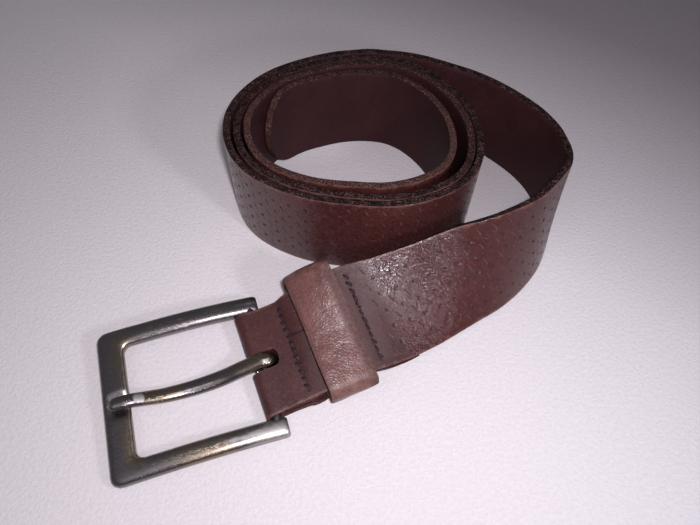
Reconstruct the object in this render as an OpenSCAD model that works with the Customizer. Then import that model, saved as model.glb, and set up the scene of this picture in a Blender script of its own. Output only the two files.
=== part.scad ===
// Leather waist belt, coiled on its edge, with a single-prong buckle and a sewn-in keeper.
// Millimetres, +Z up. The belt stands on the plane z = 0, and the origin is the
// middle of the floor that it covers.

/* [Strap] */
// Width of the strap
strap_w = 40; // [39:0.5:41]
// Thickness of the leather
strap_t = 2.8; // [2.6:0.05:2.8]
// Length of the rounded tip
tip_len = 15; // [10:1:20]
// Distance from the tip to the first prong hole
first_hole = 110; // [90:5:120]
// Distance between prong holes
hole_pitch = 25; // [20:1:28]
// Number of prong holes
hole_count = 5; // [3:1:5]
// Diameter of a prong hole
hole_d = 4.5; // [3.5:0.1:5]

/* [Coil] */
// Slack that opens the innermost turn away from the next, on the right
inner_slack = 4; // [0:0.5:5]

/* [Folded end] */
// Length of the turned-back tail, from the bar
tail_len = 56; // [54:0.5:58]
// Thickness of the tail's pared end
tail_end_t = 1.2; // [1:0.1:1.6]
// Thickness of the pared leather round the bar
fold_t = 1.2; // [1.1:0.1:1.6]
// Width of the slot for the prong
slot_w = 7.6; // [7.4:0.1:8]
// Length of the slot behind the bar
slot_reach = 8.4; // [8:0.1:8.8]

/* [Keeper] */
// Width of the keeper, along the strap
keeper_len = 17.5; // [14:0.5:18]
// Thickness of the keeper's leather
keeper_t = 2.2; // [1.8:0.1:2.2]
// Room above the strap for the belt's tip
keeper_room = 4; // [3.5:0.1:5]
// Distance from the bar to the middle of the keeper
keeper_at = 26.2; // [25.9:0.1:26.6]

/* [Buckle] */
// Length of the buckle frame, from the front edge to the ends of its arms
frame_len = 59.5; // [56:0.5:62]
// Width of the frame's front bar
front_w = 9.2; // [7:0.1:10]
// Width of each side arm
arm_w = 7.2; // [6:0.1:8]
// Thickness of the frame
frame_t = 4.4; // [4:0.1:4.6]
// Rise of the frame's arch
frame_arch = 1.5; // [1:0.1:2]
// Diameter of the heel bar
bar_d = 4; // [3.6:0.1:4]

/* [Prong] */
// Width of the prong at its base
prong_w = 5.6; // [5:0.1:6]
// Width of the prong at its tip
prong_tip_w = 4.4; // [4:0.1:4.8]
// Sideways set of the prong's tip
prong_set = -1.1; // [-1.2:0.1:1.2]
// Thickness of the prong
prong_t = 3.2; // [2.8:0.1:3.2]

/* [Stitching] */
// Distance between stitch holes
stitch_pitch = 2.8; // [2.4:0.1:3.2]
// Number of stitches in a row
stitch_count = 12; // [10:1:13]
// Diameter of the thread
thread_d = 0.9; // [0.7:0.1:1]
// Distance from the bar to the row in front of the keeper
front_row_at = 11.7; // [11.5:0.1:12.1]
// Distance from the bar to the row behind the keeper
rear_row_at = 40; // [39.5:0.1:40.5]

/* [Hidden] */
$fn = 64;

// The coil's centre, from the origin
coil_at = [1.68, 44.38];

// Reach of the outer turn from the coil's centre, and the step between turns, every 30 degrees from +X
coil_reach = [53, 50, 48, 44.5, 43.5, 47.5, 51.5, 51, 46.5, 45, 50, 55.5];
coil_step = [3.5, 3.6, 3.7, 3.9, 3.9, 4, 4.1, 3.8, 3.5, 3.3, 3.3, 3.4];
full_turns = 3;
rings_per_turn = 36;
tip_ring = 1;
last_ring = 117;

// Route of the run that leaves the coil and stands on its edge: x, y from the coil's centre
back_route = [[15, 44.5], [28, 42.5], [41, 37.5], [53.5, 31.5], [65, 23], [75.5, 12], [81.8, 1]];
// Middle of the bend, where the free arm hinges
hinge_point = [84.3, -10];
hinge_gap = 0.3;

// Route of the free arm's lower edge, from the buckle to the bend:
// x, y from the coil's centre, lift off the floor, lean (0 lies flat, 90 stands on edge)
arm_route = [
    [-6.5, -102.9, 6.6, 7.5], [2.5, -98.2, 6.5, 15], [9, -94.8, 6.25, 20], [13.5, -92.4, 5.9, 23],
    [19, -89.4, 4.4, 27], [26, -85.2, 2.3, 32], [35.5, -78.8, 0.5, 40], [43.5, -73.1, 0, 46],
    [51.5, -67.5, 0, 51], [60, -61.5, 0, 58], [69, -53, 0, 66], [78, -41, 0, 75],
    [84.5, -25.5, 0, 83], [85.6, -18, 0, 87]
];
route_parts = 4;

// The heel bar: its middle from the coil's centre, its turn about +Z and its lean
bar_at = [-29, -91];
bar_turn = 19.5;
bar_lean = 3;
bar_r = bar_d / 2;
// The fold sits askew on the bar, with room for the bar's ends
fold_skew = 4;
fold_turn = bar_turn + fold_skew;
fold_room = strap_w / 2 * sin(fold_skew);
fold_gap = 0.3;
fold_in_r = bar_r + fold_gap;
fold_out_r = fold_in_r + fold_t;
floor_gap = 0.05;
bar_z = fold_out_r + strap_w / 2 * sin(bar_lean) + floor_gap;
// Length of the fold behind the bar that isn't twisted, and the gap between its layers at its end
fold_len = 10;
fold_mouth = 2;
// Distance from the bar where the strap has turned to the direction of its lower edge
turned_at = 24;

// Gap between the strap and its tail along the folded end: distance from the bar, gap
keeper_play = 0.7;
keeper_side_play = 2.1;
keeper_gap = keeper_t + 2 * keeper_play;
keeper_reach = keeper_len / 2 + 0.3;
layer_gaps = [
    [fold_len, fold_mouth], [front_row_at, 1.2], [keeper_at - keeper_reach, keeper_gap],
    [keeper_at, keeper_gap], [keeper_at + keeper_reach, keeper_gap], [rear_row_at, 1], [48, 0.6],
    [tail_len, 0.6]
];
pared_len = 12;

// Frame of the buckle: it tips down from the bar until its front edge meets the floor
window_w = strap_w + 1.6;
frame_w = window_w + 2 * arm_w;
arm_end = 3.3;
front_x = arm_end - frame_len;
arch_chord = -front_x - front_w / 2;
arch_mid = -arch_chord / 2;
arch_r = arch_chord * arch_chord / (8 * frame_arch);
front_low = frame_arch - pow(front_x - arch_mid, 2) / (2 * arch_r) - frame_t / 2;
frame_drop = bar_z - frame_w / 2 * sin(bar_lean) + front_low - floor_gap;
frame_tip = asin(frame_drop / -front_x);
bar_socket = 4.5;
bar_clear = 0.02;
prong_clear = 0.06;
loop_r = bar_r + 2.3;

// Prong's middle line, from the bar: along the buckle, height
prong_line = [
    [0, 2.5], [-4.5, 2.3], [-9, 0.8], [-15, -1.4], [-22, -2.5], [-29, -2.5], [-36, -1.3], [-42, 1.1],
    [-46, 2.8], [-50, 3.3], [-54, 3]
];
prong_before = [4, 2.2];
prong_after = [-58, 2.6];
// Height of the notch's floor, where the prong lies in the front bar, and the notch's width
notch_low = 1;
notch_w = 7;
// Corners of the frame and of its window
frame_corner = 3.5;
window_corner = 3;

// A smooth curve through four points, from the second at f = 0 to the third at f = 1
function curve(p0, p1, p2, p3, f) =
    let (a = p2 - p0, b = 2 * p0 - 5 * p1 + 4 * p2 - p3, c = 3 * p1 - p0 - 3 * p2 + p3)
    p1 + (a * f + b * f * f + c * f * f * f) / 2;

// Points of a smooth curve through a list, whose first and last points only give the end directions
function spline(list, parts) = [
    for (i = [1 : len(list) - 3], k = [0 : parts - 1])
        curve(list[i - 1], list[i], list[i + 1], list[i + 2], k / parts),
    list[len(list) - 2]
];

// Value of a list that is spread evenly round a circle
function around(list, angle) =
    let (n = len(list), s = (angle / 360 - floor(angle / 360)) * n, i = floor(s))
    curve(list[(i + n - 1) % n], list[i % n], list[(i + 1) % n], list[(i + 2) % n], s - i);

function unit(v) = v / norm(v);
function last(list) = list[len(list) - 1];
function flip(list) = [for (i = [len(list) - 1 : -1 : 0]) list[i]];

// Middle line of the strap in the coil, wound clockwise from the tip outwards
function coil_point(ring) =
    let (
        turn = ring / rings_per_turn,
        angle = 180 - 360 * turn,
        slack = turn < 1 ? inner_slack * pow(sin(180 * turn), 2) : 0,
        r = around(coil_reach, angle) - around(coil_step, angle) * (full_turns - turn) - slack - strap_t / 2
    )
    r * [cos(angle), sin(angle)];

spiral = [for (ring = [tip_ring : last_ring]) coil_point(ring)];
arm_start = [last(arm_route)[0], last(arm_route)[1]];
rings_per_part = 4;
back_run = spline(
    concat(
        [coil_point(last_ring - rings_per_part), coil_point(last_ring)],
        back_route,
        [hinge_point, arm_start]
    ),
    route_parts
);
coil_cut = hinge_point + [0, hinge_gap / 2];
coil_line = concat(spiral, [for (i = [1 : len(back_run) - 2]) back_run[i]], [coil_cut]);

// Unit normal of a plan line at one of its points, to the left of travel
function normal_at(line, i) =
    let (d = unit(line[min(i + 1, len(line) - 1)] - line[max(i - 1, 0)])) [-d[1], d[0]];

function side_line(line, off) = [for (i = [0 : len(line) - 1]) line[i] + off * normal_at(line, i)];

coil_outer = side_line(coil_line, strap_t / 2);
coil_inner = side_line(coil_line, -strap_t / 2);

// Distance along a line to each of its points
function run_lengths(line, i = 0, sum = 0) =
    i >= len(line) ? [] : concat(
        [[sum, i]],
        run_lengths(line, i + 1, i + 1 < len(line) ? sum + norm(line[i + 1] - line[i]) : sum)
    );
coil_lengths = run_lengths(coil_line);

// Least gap of the coil to itself: each inner point against the outer side one turn further in
function to_segment(p, a, b) =
    let (f = max(0, min(1, (p - a) * (b - a) / ((b - a) * (b - a))))) norm(p - a - f * (b - a));
coil_gap = min([
    for (i = [rings_per_turn : len(spiral) + 4], k = [-3 : 2])
        let (j = max(0, i - rings_per_turn + k)) to_segment(coil_inner[i], coil_outer[j], coil_outer[j + 1])
]);
echo(least_gap_of_the_coil_mm = coil_gap);

// The folded end and the free arm: lower edge, lean and direction at each station.
// A station is [x, y, z, lean] from the coil's centre.
function lifted(p) = [p[0], p[1], p[2] + strap_t / 2 * cos(p[3]), p[3]];
function fold_station(x) =
    let (
        v = -strap_w / 2,
        g = fold_in_r + strap_t / 2,
        side = v * cos(bar_lean) - g * sin(bar_lean)
    )
    [
        bar_at[0] + x * cos(fold_turn) - side * sin(fold_turn),
        bar_at[1] + x * sin(fold_turn) + side * cos(fold_turn),
        bar_z + v * sin(bar_lean) + g * cos(bar_lean),
        bar_lean
    ];
hinge_station = [hinge_point[0], hinge_point[1] - hinge_gap / 2, 0, 90];
beyond_hinge = [last(back_route)[0], last(back_route)[1], 0, 90];
arm_curve = spline(
    concat(
        [fold_station(0), fold_station(fold_len)],
        [for (p = arm_route) lifted(p)],
        [hinge_station, beyond_hinge]
    ),
    route_parts
);
stations = [for (s = arm_curve) [s[0], s[1], max(s[2], strap_t / 2 * cos(s[3])), s[3]]];
station_line = [for (s = stations) [s[0], s[1]]];
station_runs = [for (r = run_lengths(station_line)) r[0] + fold_len];

// Station at a distance from the bar, and the turn of the strap there
function column(k) = [for (i = [0 : len(stations) - 1]) [station_runs[i], stations[i][k]]];
columns = [for (k = [0 : 3]) column(k)];
function station(d) = [for (k = [0 : 3]) lookup(d, columns[k])];
function turn_at(d) =
    let (
        a = station(d - 0.5),
        b = station(d + 0.5),
        share = max(0, min(1, (d - fold_len) / (turned_at - fold_len)))
    )
    d <= fold_len ? fold_turn : fold_turn + share * (atan2(b[1] - a[1], b[0] - a[0]) - fold_turn);

// Point of the strap: v across it from its lower edge, g out of its grain face from its middle
function strap_point(s, turn, v, g) =
    [
        s[0] - (v * cos(s[3]) - g * sin(s[3])) * sin(turn),
        s[1] + (v * cos(s[3]) - g * sin(s[3])) * cos(turn),
        s[2] + v * sin(s[3]) + g * cos(s[3])
    ];
function strap_ring(d, low, high) =
    let (s = station(d), turn = turn_at(d))
    [for (c = [[0, low], [strap_w, low], [strap_w, high], [0, high]]) strap_point(s, turn, c[0], c[1])];

// Gap to the tail and the tail's thickness at a distance from the bar
gap_before = [0, 4];
gap_after = [tail_len + 6, 0.6];
gap_line = spline(concat([gap_before], layer_gaps, [gap_after]), route_parts);
function layer_gap(d) = lookup(d, gap_line);
function tail_t(d) = strap_t - (strap_t - tail_end_t) * max(0, d - tail_len + pared_len) / pared_len;
function tail_face(d) = -strap_t / 2 - layer_gap(d) - tail_t(d);

arm_rings = [for (d = station_runs) strap_ring(d, -strap_t / 2, strap_t / 2)];
tail_parts = 24;
tail_rings = [
    for (i = [0 : tail_parts])
        let (d = fold_len + i * (tail_len - fold_len) / tail_parts, low = tail_face(d))
        strap_ring(d, low, low + tail_t(d))
];

// Least gap of the arm's upper edge to the outer turn of the coil
outer_turn = [for (i = [2 * rings_per_turn : 3 * rings_per_turn]) coil_outer[i]];
arm_gap = min([for (r = arm_rings, p = outer_turn) norm([r[1][0], r[1][1]] - p)]);
echo(arm_to_coil_mm = arm_gap, strap_length_mm = last(coil_lengths)[0] + max(station_runs) + tail_len);

leather = [0.30, 0.14, 0.11];
keeper_leather = [0.42, 0.22, 0.17];
metal = [0.36, 0.34, 0.31];
thread = [0.17, 0.08, 0.09];

// Solid through a list of rings with the same number of points; the cap is the first ring's faces
module loft(rings, cap) {
    m = len(rings[0]);
    n = len(rings);
    sides = [
        for (i = [0 : n - 2], j = [0 : m - 1])
            let (a = i * m, b = a + m, k = (j + 1) % m) each [[a + k, a + j, b + j], [a + k, b + j, b + k]]
    ];
    end = (n - 1) * m;
    caps = concat(cap, [for (f = cap) [for (i = flip(f)) end + i]]);
    polyhedron(points = [for (r = rings) each r], faces = concat(sides, caps));
}

// Frames that a sub-part is built in
module in_coil() {
    translate([coil_at[0], coil_at[1], 0]) children();
}
module at_bar() {
    in_coil() translate([bar_at[0], bar_at[1], bar_z]) rotate([bar_lean, 0, bar_turn]) children();
}
module in_fold() {
    in_coil() translate([bar_at[0], bar_at[1], bar_z]) rotate([bar_lean, 0, fold_turn]) children();
}
module in_buckle() {
    at_bar() rotate([0, -frame_tip, 0]) children();
}
// On the middle of the strap's width and thickness, at a distance from the bar
module on_strap(d) {
    s = station(d);
    turn = turn_at(d);
    in_coil() translate(strap_point(s, turn, strap_w / 2, 0)) rotate([s[3], 0, turn]) children();
}

module across(width) {
    rotate([90, 0, 0]) linear_extrude(width, center = true) children();
}

// The coiled run, from the rounded tip to the middle of the bend
tip_rings = 8;
tip_over = 0.2;
tip_dir = unit(coil_line[1] - coil_line[0]);
// Side of the strap's end, a little proud of its faces
function tip_side(off) = [
    for (i = [0 : tip_rings])
        coil_line[i] + off * normal_at(coil_line, i) - (i == 0 ? tip_over * tip_dir : [0, 0])
];
// Outline of the leather that is cut away at one corner of the tip
module tip_corner(side) {
    steps = 12;
    half = strap_w / 2;
    polygon(concat(
        [[-1, side * (half + 1)], [-1, 0]],
        [for (k = [0 : steps]) let (a = 90 * k / steps) [tip_len * (1 - cos(a)), side * half * sin(a)]],
        [[tip_len, side * (half + 1)]]
    ));
}
module tip_corners() {
    over = strap_t / 2 + tip_over;
    intersection() {
        linear_extrude(3 * strap_w, center = true) polygon(concat(tip_side(over), flip(tip_side(-over))));
        translate([coil_line[0][0], coil_line[0][1], strap_w / 2])
            rotate([90, 0, atan2(tip_dir[1], tip_dir[0])])
            for (side = [-1, 1]) linear_extrude(strap_w, center = true) tip_corner(side);
    }
}

module prong_hole(d) {
    i = lookup(d, coil_lengths);
    low = floor(i);
    p = coil_line[low] + (i - low) * (coil_line[low + 1] - coil_line[low]);
    n = normal_at(coil_line, low);
    translate([p[0], p[1], strap_w / 2])
        rotate([0, 0, atan2(n[1], n[0])])
        rotate([0, 90, 0])
        cylinder(d = hole_d, h = strap_t + 2 * tip_over, center = true);
}

module strap_coil() {
    color(leather)
        in_coil()
        difference() {
            linear_extrude(strap_w) polygon(concat(coil_outer, flip(coil_inner)));
            tip_corners();
            for (k = [0 : hole_count - 1]) prong_hole(first_hole + k * hole_pitch);
        }
}

// Point where a line from p touches a circle about the bar, on the lower side
function touch_point(p, r) =
    let (a = atan2(p[1], p[0]) - acos(r / norm(p))) r * [cos(a), sin(a)];

// Solid of the fold round the bar, out to one of its faces. high and low are its heights at the mouth.
module fold_solid(r, high, low, reach, width) {
    mouth = reach - fold_room;
    for (side = [-1, 1])
        translate([side * fold_room, 0, 0]) rotate([90, 0, 0]) cylinder(r = r, h = width, center = true);
    cube([2 * fold_room, width, 2 * r], center = true);
    translate([fold_room, 0, 0])
        across(width)
        polygon([[0, 0], [0, r], [mouth, high], [mouth, low], touch_point([mouth, low], r)]);
}

// The strap is one strip. Its fold round the bar and the tail under it are nodes of their own.
module strap_fold() {
    low = fold_in_r - fold_mouth;
    color(leather)
        in_fold()
        difference() {
            fold_solid(fold_out_r, fold_in_r + strap_t, low - strap_t, fold_len, strap_w);
            fold_solid(fold_in_r, fold_in_r, low, fold_len + 1, 2 * strap_w);
            translate([-4 * fold_out_r, -slot_w / 2, -4 * fold_out_r])
                cube([4 * fold_out_r + slot_reach, slot_w, 8 * fold_out_r]);
        }
}

module strap_tail() {
    color(leather) in_coil() loft(tail_rings, [[0, 1, 2, 3]]);
}

// The free arm twists from its edge to the flat on its way to the buckle
module strap_arm() {
    color(leather) in_coil() loft(arm_rings, [[0, 1, 2, 3]]);
}

// Rectangle from a front edge back to the arms' ends, with its two front corners rounded
module front_rounded(front, width, corner, past = 0) {
    length = arm_end + past - front;
    translate([front + corner, -width / 2]) square([length - corner, width]);
    translate([front, -width / 2 + corner]) square([length, width - 2 * corner]);
    for (side = [-1, 1]) translate([front + corner, side * (width / 2 - corner)]) circle(corner);
}

// Arched frame with a front bar, notched for the prong, and two arms that carry the heel bar
module frame_outline() {
    difference() {
        front_rounded(front_x, frame_w, frame_corner);
        front_rounded(front_x + front_w, window_w, window_corner, arm_end);
    }
}

module buckle_frame() {
    color(metal)
        in_buckle()
        difference() {
            intersection() {
                linear_extrude(8 * frame_t, center = true) frame_outline();
                translate([arch_mid, 0, frame_arch - arch_r])
                    rotate([90, 0, 0])
                    difference() {
                        cylinder(r = arch_r + frame_t / 2, h = 2 * frame_w, center = true, $fn = 360);
                        cylinder(r = arch_r - frame_t / 2, h = 3 * frame_w, center = true, $fn = 360);
                    }
            }
            rotate([90, 0, 0])
                cylinder(d = bar_d + 2 * bar_clear, h = window_w + 2 * bar_socket, center = true);
            translate([front_x - 1, prong_set - notch_w / 2, notch_low])
                cube([front_w + 2, notch_w, frame_t]);
        }
}

// Steel bar pressed into the arms, that the strap folds round and the prong turns on
module heel_bar() {
    color(metal)
        in_buckle()
        rotate([90, 0, 0])
        cylinder(d = bar_d, h = window_w + 2 * bar_socket - 0.2, center = true);
}

// Prong: a loop round the bar and a tapered tongue that reaches over the front bar
module prong() {
    line = spline(concat([prong_before], prong_line, [prong_after]), route_parts);
    top = side_line(line, -prong_t / 2);
    bottom = side_line(line, prong_t / 2);
    round_at = last(prong_line)[0] + prong_tip_w / 2;
    color(metal)
        in_buckle()
        difference() {
            union() {
                rotate([90, 0, 0]) cylinder(r = loop_r, h = prong_w, center = true);
                intersection() {
                    across(2 * prong_w) polygon(concat(top, flip(bottom)));
                    linear_extrude(8 * prong_t, center = true) {
                        polygon([
                            [0, -prong_w / 2], [0, prong_w / 2], [round_at, prong_set + prong_tip_w / 2],
                            [round_at, prong_set - prong_tip_w / 2]
                        ]);
                        translate([round_at, prong_set]) circle(d = prong_tip_w);
                    }
                }
            }
            rotate([90, 0, 0]) cylinder(d = bar_d + 2 * prong_clear, h = 2 * prong_w, center = true);
        }
}

// Leather band round the strap, with its two ends meeting between the strap and the tail
function corner_arc(c, r, from) =
    let (steps = 4) [for (k = [0 : steps]) let (a = from + 90 * k / steps) c + r * [cos(a), sin(a)]];
function band_path(half, low, high, r, split) = concat(
    [[split, low]],
    corner_arc([half - r, low + r], r, -90),
    corner_arc([half - r, high - r], r, 0),
    corner_arc([r - half, high - r], r, 90),
    corner_arc([r - half, low + r], r, 180),
    [[-split, low]]
);
keeper_half = strap_w / 2 + keeper_side_play;
keeper_low = -strap_t / 2 - keeper_play;
keeper_high = strap_t / 2 + keeper_room;
keeper_split = 0.15;
keeper_corner = 2.2;
keeper_in = band_path(keeper_half, keeper_low, keeper_high, keeper_corner, keeper_split);
keeper_out = band_path(
    keeper_half + keeper_t, keeper_low - keeper_t, keeper_high + keeper_t, keeper_corner + keeper_t,
    keeper_split
);

module keeper_loop() {
    slices = 6;
    outline = concat(keeper_out, flip(keeper_in));
    m = len(outline);
    rings = [
        for (k = [0 : slices])
            let (d = keeper_at + keeper_len * (k / slices - 0.5), s = station(d), turn = turn_at(d))
            [for (p = outline) strap_point(s, turn, strap_w / 2 + p[0], p[1])]
    ];
    cap = [for (j = [0 : m / 2 - 2]) each [[j, j + 1, m - 2 - j], [j, m - 2 - j, m - 1 - j]]];
    color(keeper_leather) in_coil() loft(rings, cap);
}

// Wire staple that holds the keeper's ends together
module keeper_staple() {
    wire = 0.6;
    crown = 9;
    top = keeper_low - wire;
    color(metal)
        on_strap(keeper_at) {
            translate([-wire / 2, -crown / 2, top]) cube([wire, crown, wire]);
            for (side = [-1, 1])
                translate([-wire / 2, side * (crown - wire) / 2 - wire / 2, top - keeper_t + wire])
                    cube([wire, wire, keeper_t - wire]);
        }
}

// One thread of a row of lock stitches: a dash between neighbouring holes and a leg down each hole.
// face is the height of the leather's face and meet the height where the two threads lock.
module stitch_row(d, face, meet) {
    r = thread_d / 2;
    side = sign(face - meet);
    dash_at = face + side * r / 3;
    leg = abs(dash_at - meet);
    start = -stitch_count * stitch_pitch / 2;
    color(thread)
        on_strap(d) {
            translate([0, start, dash_at])
                rotate([-90, 0, 0])
                cylinder(r = r, h = stitch_count * stitch_pitch, $fn = thread_sides);
            for (i = [0 : stitch_count])
                translate([0, start + i * stitch_pitch, min(meet, dash_at)])
                    cylinder(r = r, h = leg, $fn = thread_sides);
        }
}

function lock_height(d) = -strap_t / 2 - layer_gap(d) / 2;
lock_gap = 0.1;
thread_sides = 16;

module front_needle_thread() {
    stitch_row(front_row_at, strap_t / 2, lock_height(front_row_at) + lock_gap);
}
module front_bobbin_thread() {
    stitch_row(front_row_at, tail_face(front_row_at), lock_height(front_row_at) - lock_gap);
}
module rear_needle_thread() {
    stitch_row(rear_row_at, strap_t / 2, lock_height(rear_row_at) + lock_gap);
}
module rear_bobbin_thread() {
    stitch_row(rear_row_at, tail_face(rear_row_at), lock_height(rear_row_at) - lock_gap);
}

strap_coil();
strap_arm();
strap_fold();
strap_tail();
buckle_frame();
heel_bar();
prong();
keeper_loop();
keeper_staple();
front_needle_thread();
front_bobbin_thread();
rear_needle_thread();
rear_bobbin_thread();
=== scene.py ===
"""Leather waist belt, coiled on its edge: strap, keeper, stitching and buckle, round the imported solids.

Lengths in the tables and in the functions below are millimetres, in the frame of the solids.
"""

import math

import bpy
import numpy as np
from bpy.props import FloatProperty, FloatVectorProperty, IntProperty, PointerProperty
from bpy.types import Operator, Panel, PropertyGroup
from mathutils import Euler, Matrix, Vector


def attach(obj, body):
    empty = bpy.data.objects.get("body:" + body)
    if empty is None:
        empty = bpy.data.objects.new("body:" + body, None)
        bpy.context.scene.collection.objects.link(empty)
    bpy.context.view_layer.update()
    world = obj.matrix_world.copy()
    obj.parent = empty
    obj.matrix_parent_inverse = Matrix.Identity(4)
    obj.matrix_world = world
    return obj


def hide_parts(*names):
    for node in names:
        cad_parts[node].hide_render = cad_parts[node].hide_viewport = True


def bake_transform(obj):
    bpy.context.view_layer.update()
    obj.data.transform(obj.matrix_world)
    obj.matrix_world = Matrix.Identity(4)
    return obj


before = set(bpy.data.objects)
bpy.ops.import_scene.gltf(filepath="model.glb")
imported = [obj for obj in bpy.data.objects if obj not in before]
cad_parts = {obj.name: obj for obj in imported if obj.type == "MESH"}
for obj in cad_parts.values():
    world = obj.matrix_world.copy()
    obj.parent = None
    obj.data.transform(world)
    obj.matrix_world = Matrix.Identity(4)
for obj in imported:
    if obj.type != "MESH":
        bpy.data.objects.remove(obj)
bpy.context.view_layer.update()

bl_info = {
    "name": "Leather waist belt",
    "version": (1, 0, 0),
    "blender": (4, 5, 0),
    "location": "3D View > Sidebar > Belt",
    "description": "Dresses a coiled leather belt: strap, keeper, stitching and buckle",
    "category": "Object",
}

MM = 0.001

# Strap and its coil: the same sizes and route points as the solids
STRAP_W = 40.0
STRAP_T = 2.8
HALF_T = STRAP_T / 2
MID = STRAP_W / 2
TIP_LEN = 15.0
FIRST_HOLE, HOLE_PITCH, HOLE_COUNT, HOLE_R = 110.0, 25.0, 5, 2.25
COIL_AT = np.array([1.68, 44.38])
COIL_REACH = [53, 50, 48, 44.5, 43.5, 47.5, 51.5, 51, 46.5, 45, 50, 55.5]
COIL_STEP = [3.5, 3.6, 3.7, 3.9, 3.9, 4, 4.1, 3.8, 3.5, 3.3, 3.3, 3.4]
INNER_SLACK, FULL_TURNS, RINGS_PER_TURN = 4.0, 3, 36
TIP_RING, LAST_RING, OUTER_RING = 1, 117, 80
BACK_ROUTE = [[15, 44.5], [28, 42.5], [41, 37.5], [53.5, 31.5], [65, 23], [75.5, 12], [81.8, 1]]
HINGE = np.array([84.3, -10.0])
HINGE_GAP = 0.3
# Free arm's lower edge, from the buckle: x, y from the coil's centre, lift, lean
ARM_ROUTE = [
    [-6.5, -102.9, 6.6, 7.5], [2.5, -98.2, 6.5, 15], [9, -94.8, 6.25, 20], [13.5, -92.4, 5.9, 23],
    [19, -89.4, 4.4, 27], [26, -85.2, 2.3, 32], [35.5, -78.8, 0.5, 40], [43.5, -73.1, 0, 46],
    [51.5, -67.5, 0, 51], [60, -61.5, 0, 58], [69, -53, 0, 66], [78, -41, 0, 75],
    [84.5, -25.5, 0, 83], [85.6, -18, 0, 87],
]

# Folded end, keeper and rows of stitches
BAR_R = 2.0
BAR_TURN, BAR_LEAN, FOLD_SKEW = math.radians(19.5), math.radians(3), math.radians(4)
FOLD_TURN = BAR_TURN + FOLD_SKEW
FOLD_ROOM = MID * math.sin(FOLD_SKEW)
FOLD_T, FOLD_IN_R, FOLD_LEN, FOLD_MOUTH, TURNED_AT = 1.2, BAR_R + 0.3, 10.0, 2.0, 24.0
FOLD_OUT_R = FOLD_IN_R + FOLD_T
BAR = np.array([-29 + COIL_AT[0], -91 + COIL_AT[1], FOLD_OUT_R + MID * math.sin(BAR_LEAN) + 0.05])
TAIL_LEN, TAIL_END_T, PARED_LEN = 56.0, 1.2, 12.0
FRONT_ROW, REAR_ROW = 11.7, 40.0
KEEPER_AT, KEEPER_LEN, KEEPER_T = 26.2, 17.5, 2.2
KEEPER_HALF, KEEPER_LOW, KEEPER_HIGH, KEEPER_CORNER = 22.1, -2.1, 5.4, 2.2
KEEPER_REACH, KEEPER_GAP = KEEPER_LEN / 2 + 0.3, KEEPER_T + 1.4
# Half the gap where the keeper's ends meet; waviness of its sides and sag of its top
KEEPER_SEAM, KEEPER_WAVE, KEEPER_SAG = 0.15, 0.2, 0.35
LAYER_GAPS = [
    [0, 4], [FOLD_LEN, FOLD_MOUTH], [FRONT_ROW, 1.2], [KEEPER_AT - KEEPER_REACH, KEEPER_GAP],
    [KEEPER_AT, KEEPER_GAP], [KEEPER_AT + KEEPER_REACH, KEEPER_GAP], [REAR_ROW, 1], [48, 0.6],
    [TAIL_LEN, 0.6], [TAIL_LEN + 6, 0.6],
]
# The leather closes round the prong's base: narrower and shorter than the slot in the solids
SLOT_W, SLOT_REACH, SLOT_LOW, SLOT_END, SLOT_AT = 6.6, 5.95, 6.0, 2.2, MID - 0.25
SLOT_POWER = 2.4
# Folded leather spreads a little at its sides
FOLD_FLARE, FLARE_REACH = 0.6, 7.0
# Sideways slip of the tail past the strap's near edge: distance from the bar, slip
TAIL_SHIFT = [
    [8, 0], [10, 0], [13, 1.0], [17, 1.0], [22, 0.3], [34, 0.2], [42, 1.1], [48, 1.3], [57, 1.3], [60, 1.3],
]
# Groove that a row of stitches pulls into the leather
ROW_HALF, GROOVE_W, GROOVE_REACH, GROOVE_DEPTH = 17.2, 0.65, 0.8, 0.22
# Depth of a stitch in the leather; loose thread end: distance from the bar, across, out of the leather
STITCH_SUNK = 0.12
LOOSE_ROUTE = [
    (12.2, 24.6, 1.0), (12.8, 24.4, 1.6), (14.0, 24.0, 1.9), (15.4, 23.9, 1.75), (16.8, 23.7, 1.7),
    (18.2, 23.9, 1.75), (19, 24.0, 1.7),
]

# Buckle
FRAME_W, WINDOW_W, ARM_END, FRONT_X, FRONT_W = 56.0, 41.6, 3.3, -56.2, 9.2
FRAME_T, FRAME_ARCH, FRAME_CORNER, WINDOW_CORNER = 4.4, 1.5, 3.5, 3.0
ARCH_MID = (FRONT_X + FRONT_W / 2) / 2
ARCH_R = (2 * ARCH_MID) ** 2 / (8 * FRAME_ARCH)
FRAME_TIP = math.radians(0.305)
# Fullness of the frame's section: arms, what the front bar adds, underside; how much an arm's end shrinks
ARM_POWER, FRONT_MORE, UNDER_POWER, END_SHRINK = 2.5, 0.9, 3.2, 0.28
# Where the arms pass into the front bar, and the seat pressed into it under the prong: half width, slope, depth
FRONT_FROM, FRONT_BLEND, SEAT_HALF, SEAT_SLOPE, SEAT_DEPTH = -40, 8, 5.4, 3.2, 1.05
PRONG_LINE = [
    [-4.5, 2.3], [-9, 0.8], [-15, -1.4], [-22, -2.5], [-29, -2.5], [-36, -1.3], [-42, 1.1],
    [-46, 2.8], [-50, 3.3], [-54, 3],
]
PRONG_SET, PRONG_LEN, LOOP_R, LOOP_PLAY = -1.1, 54, 4.3, 0.06
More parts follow.
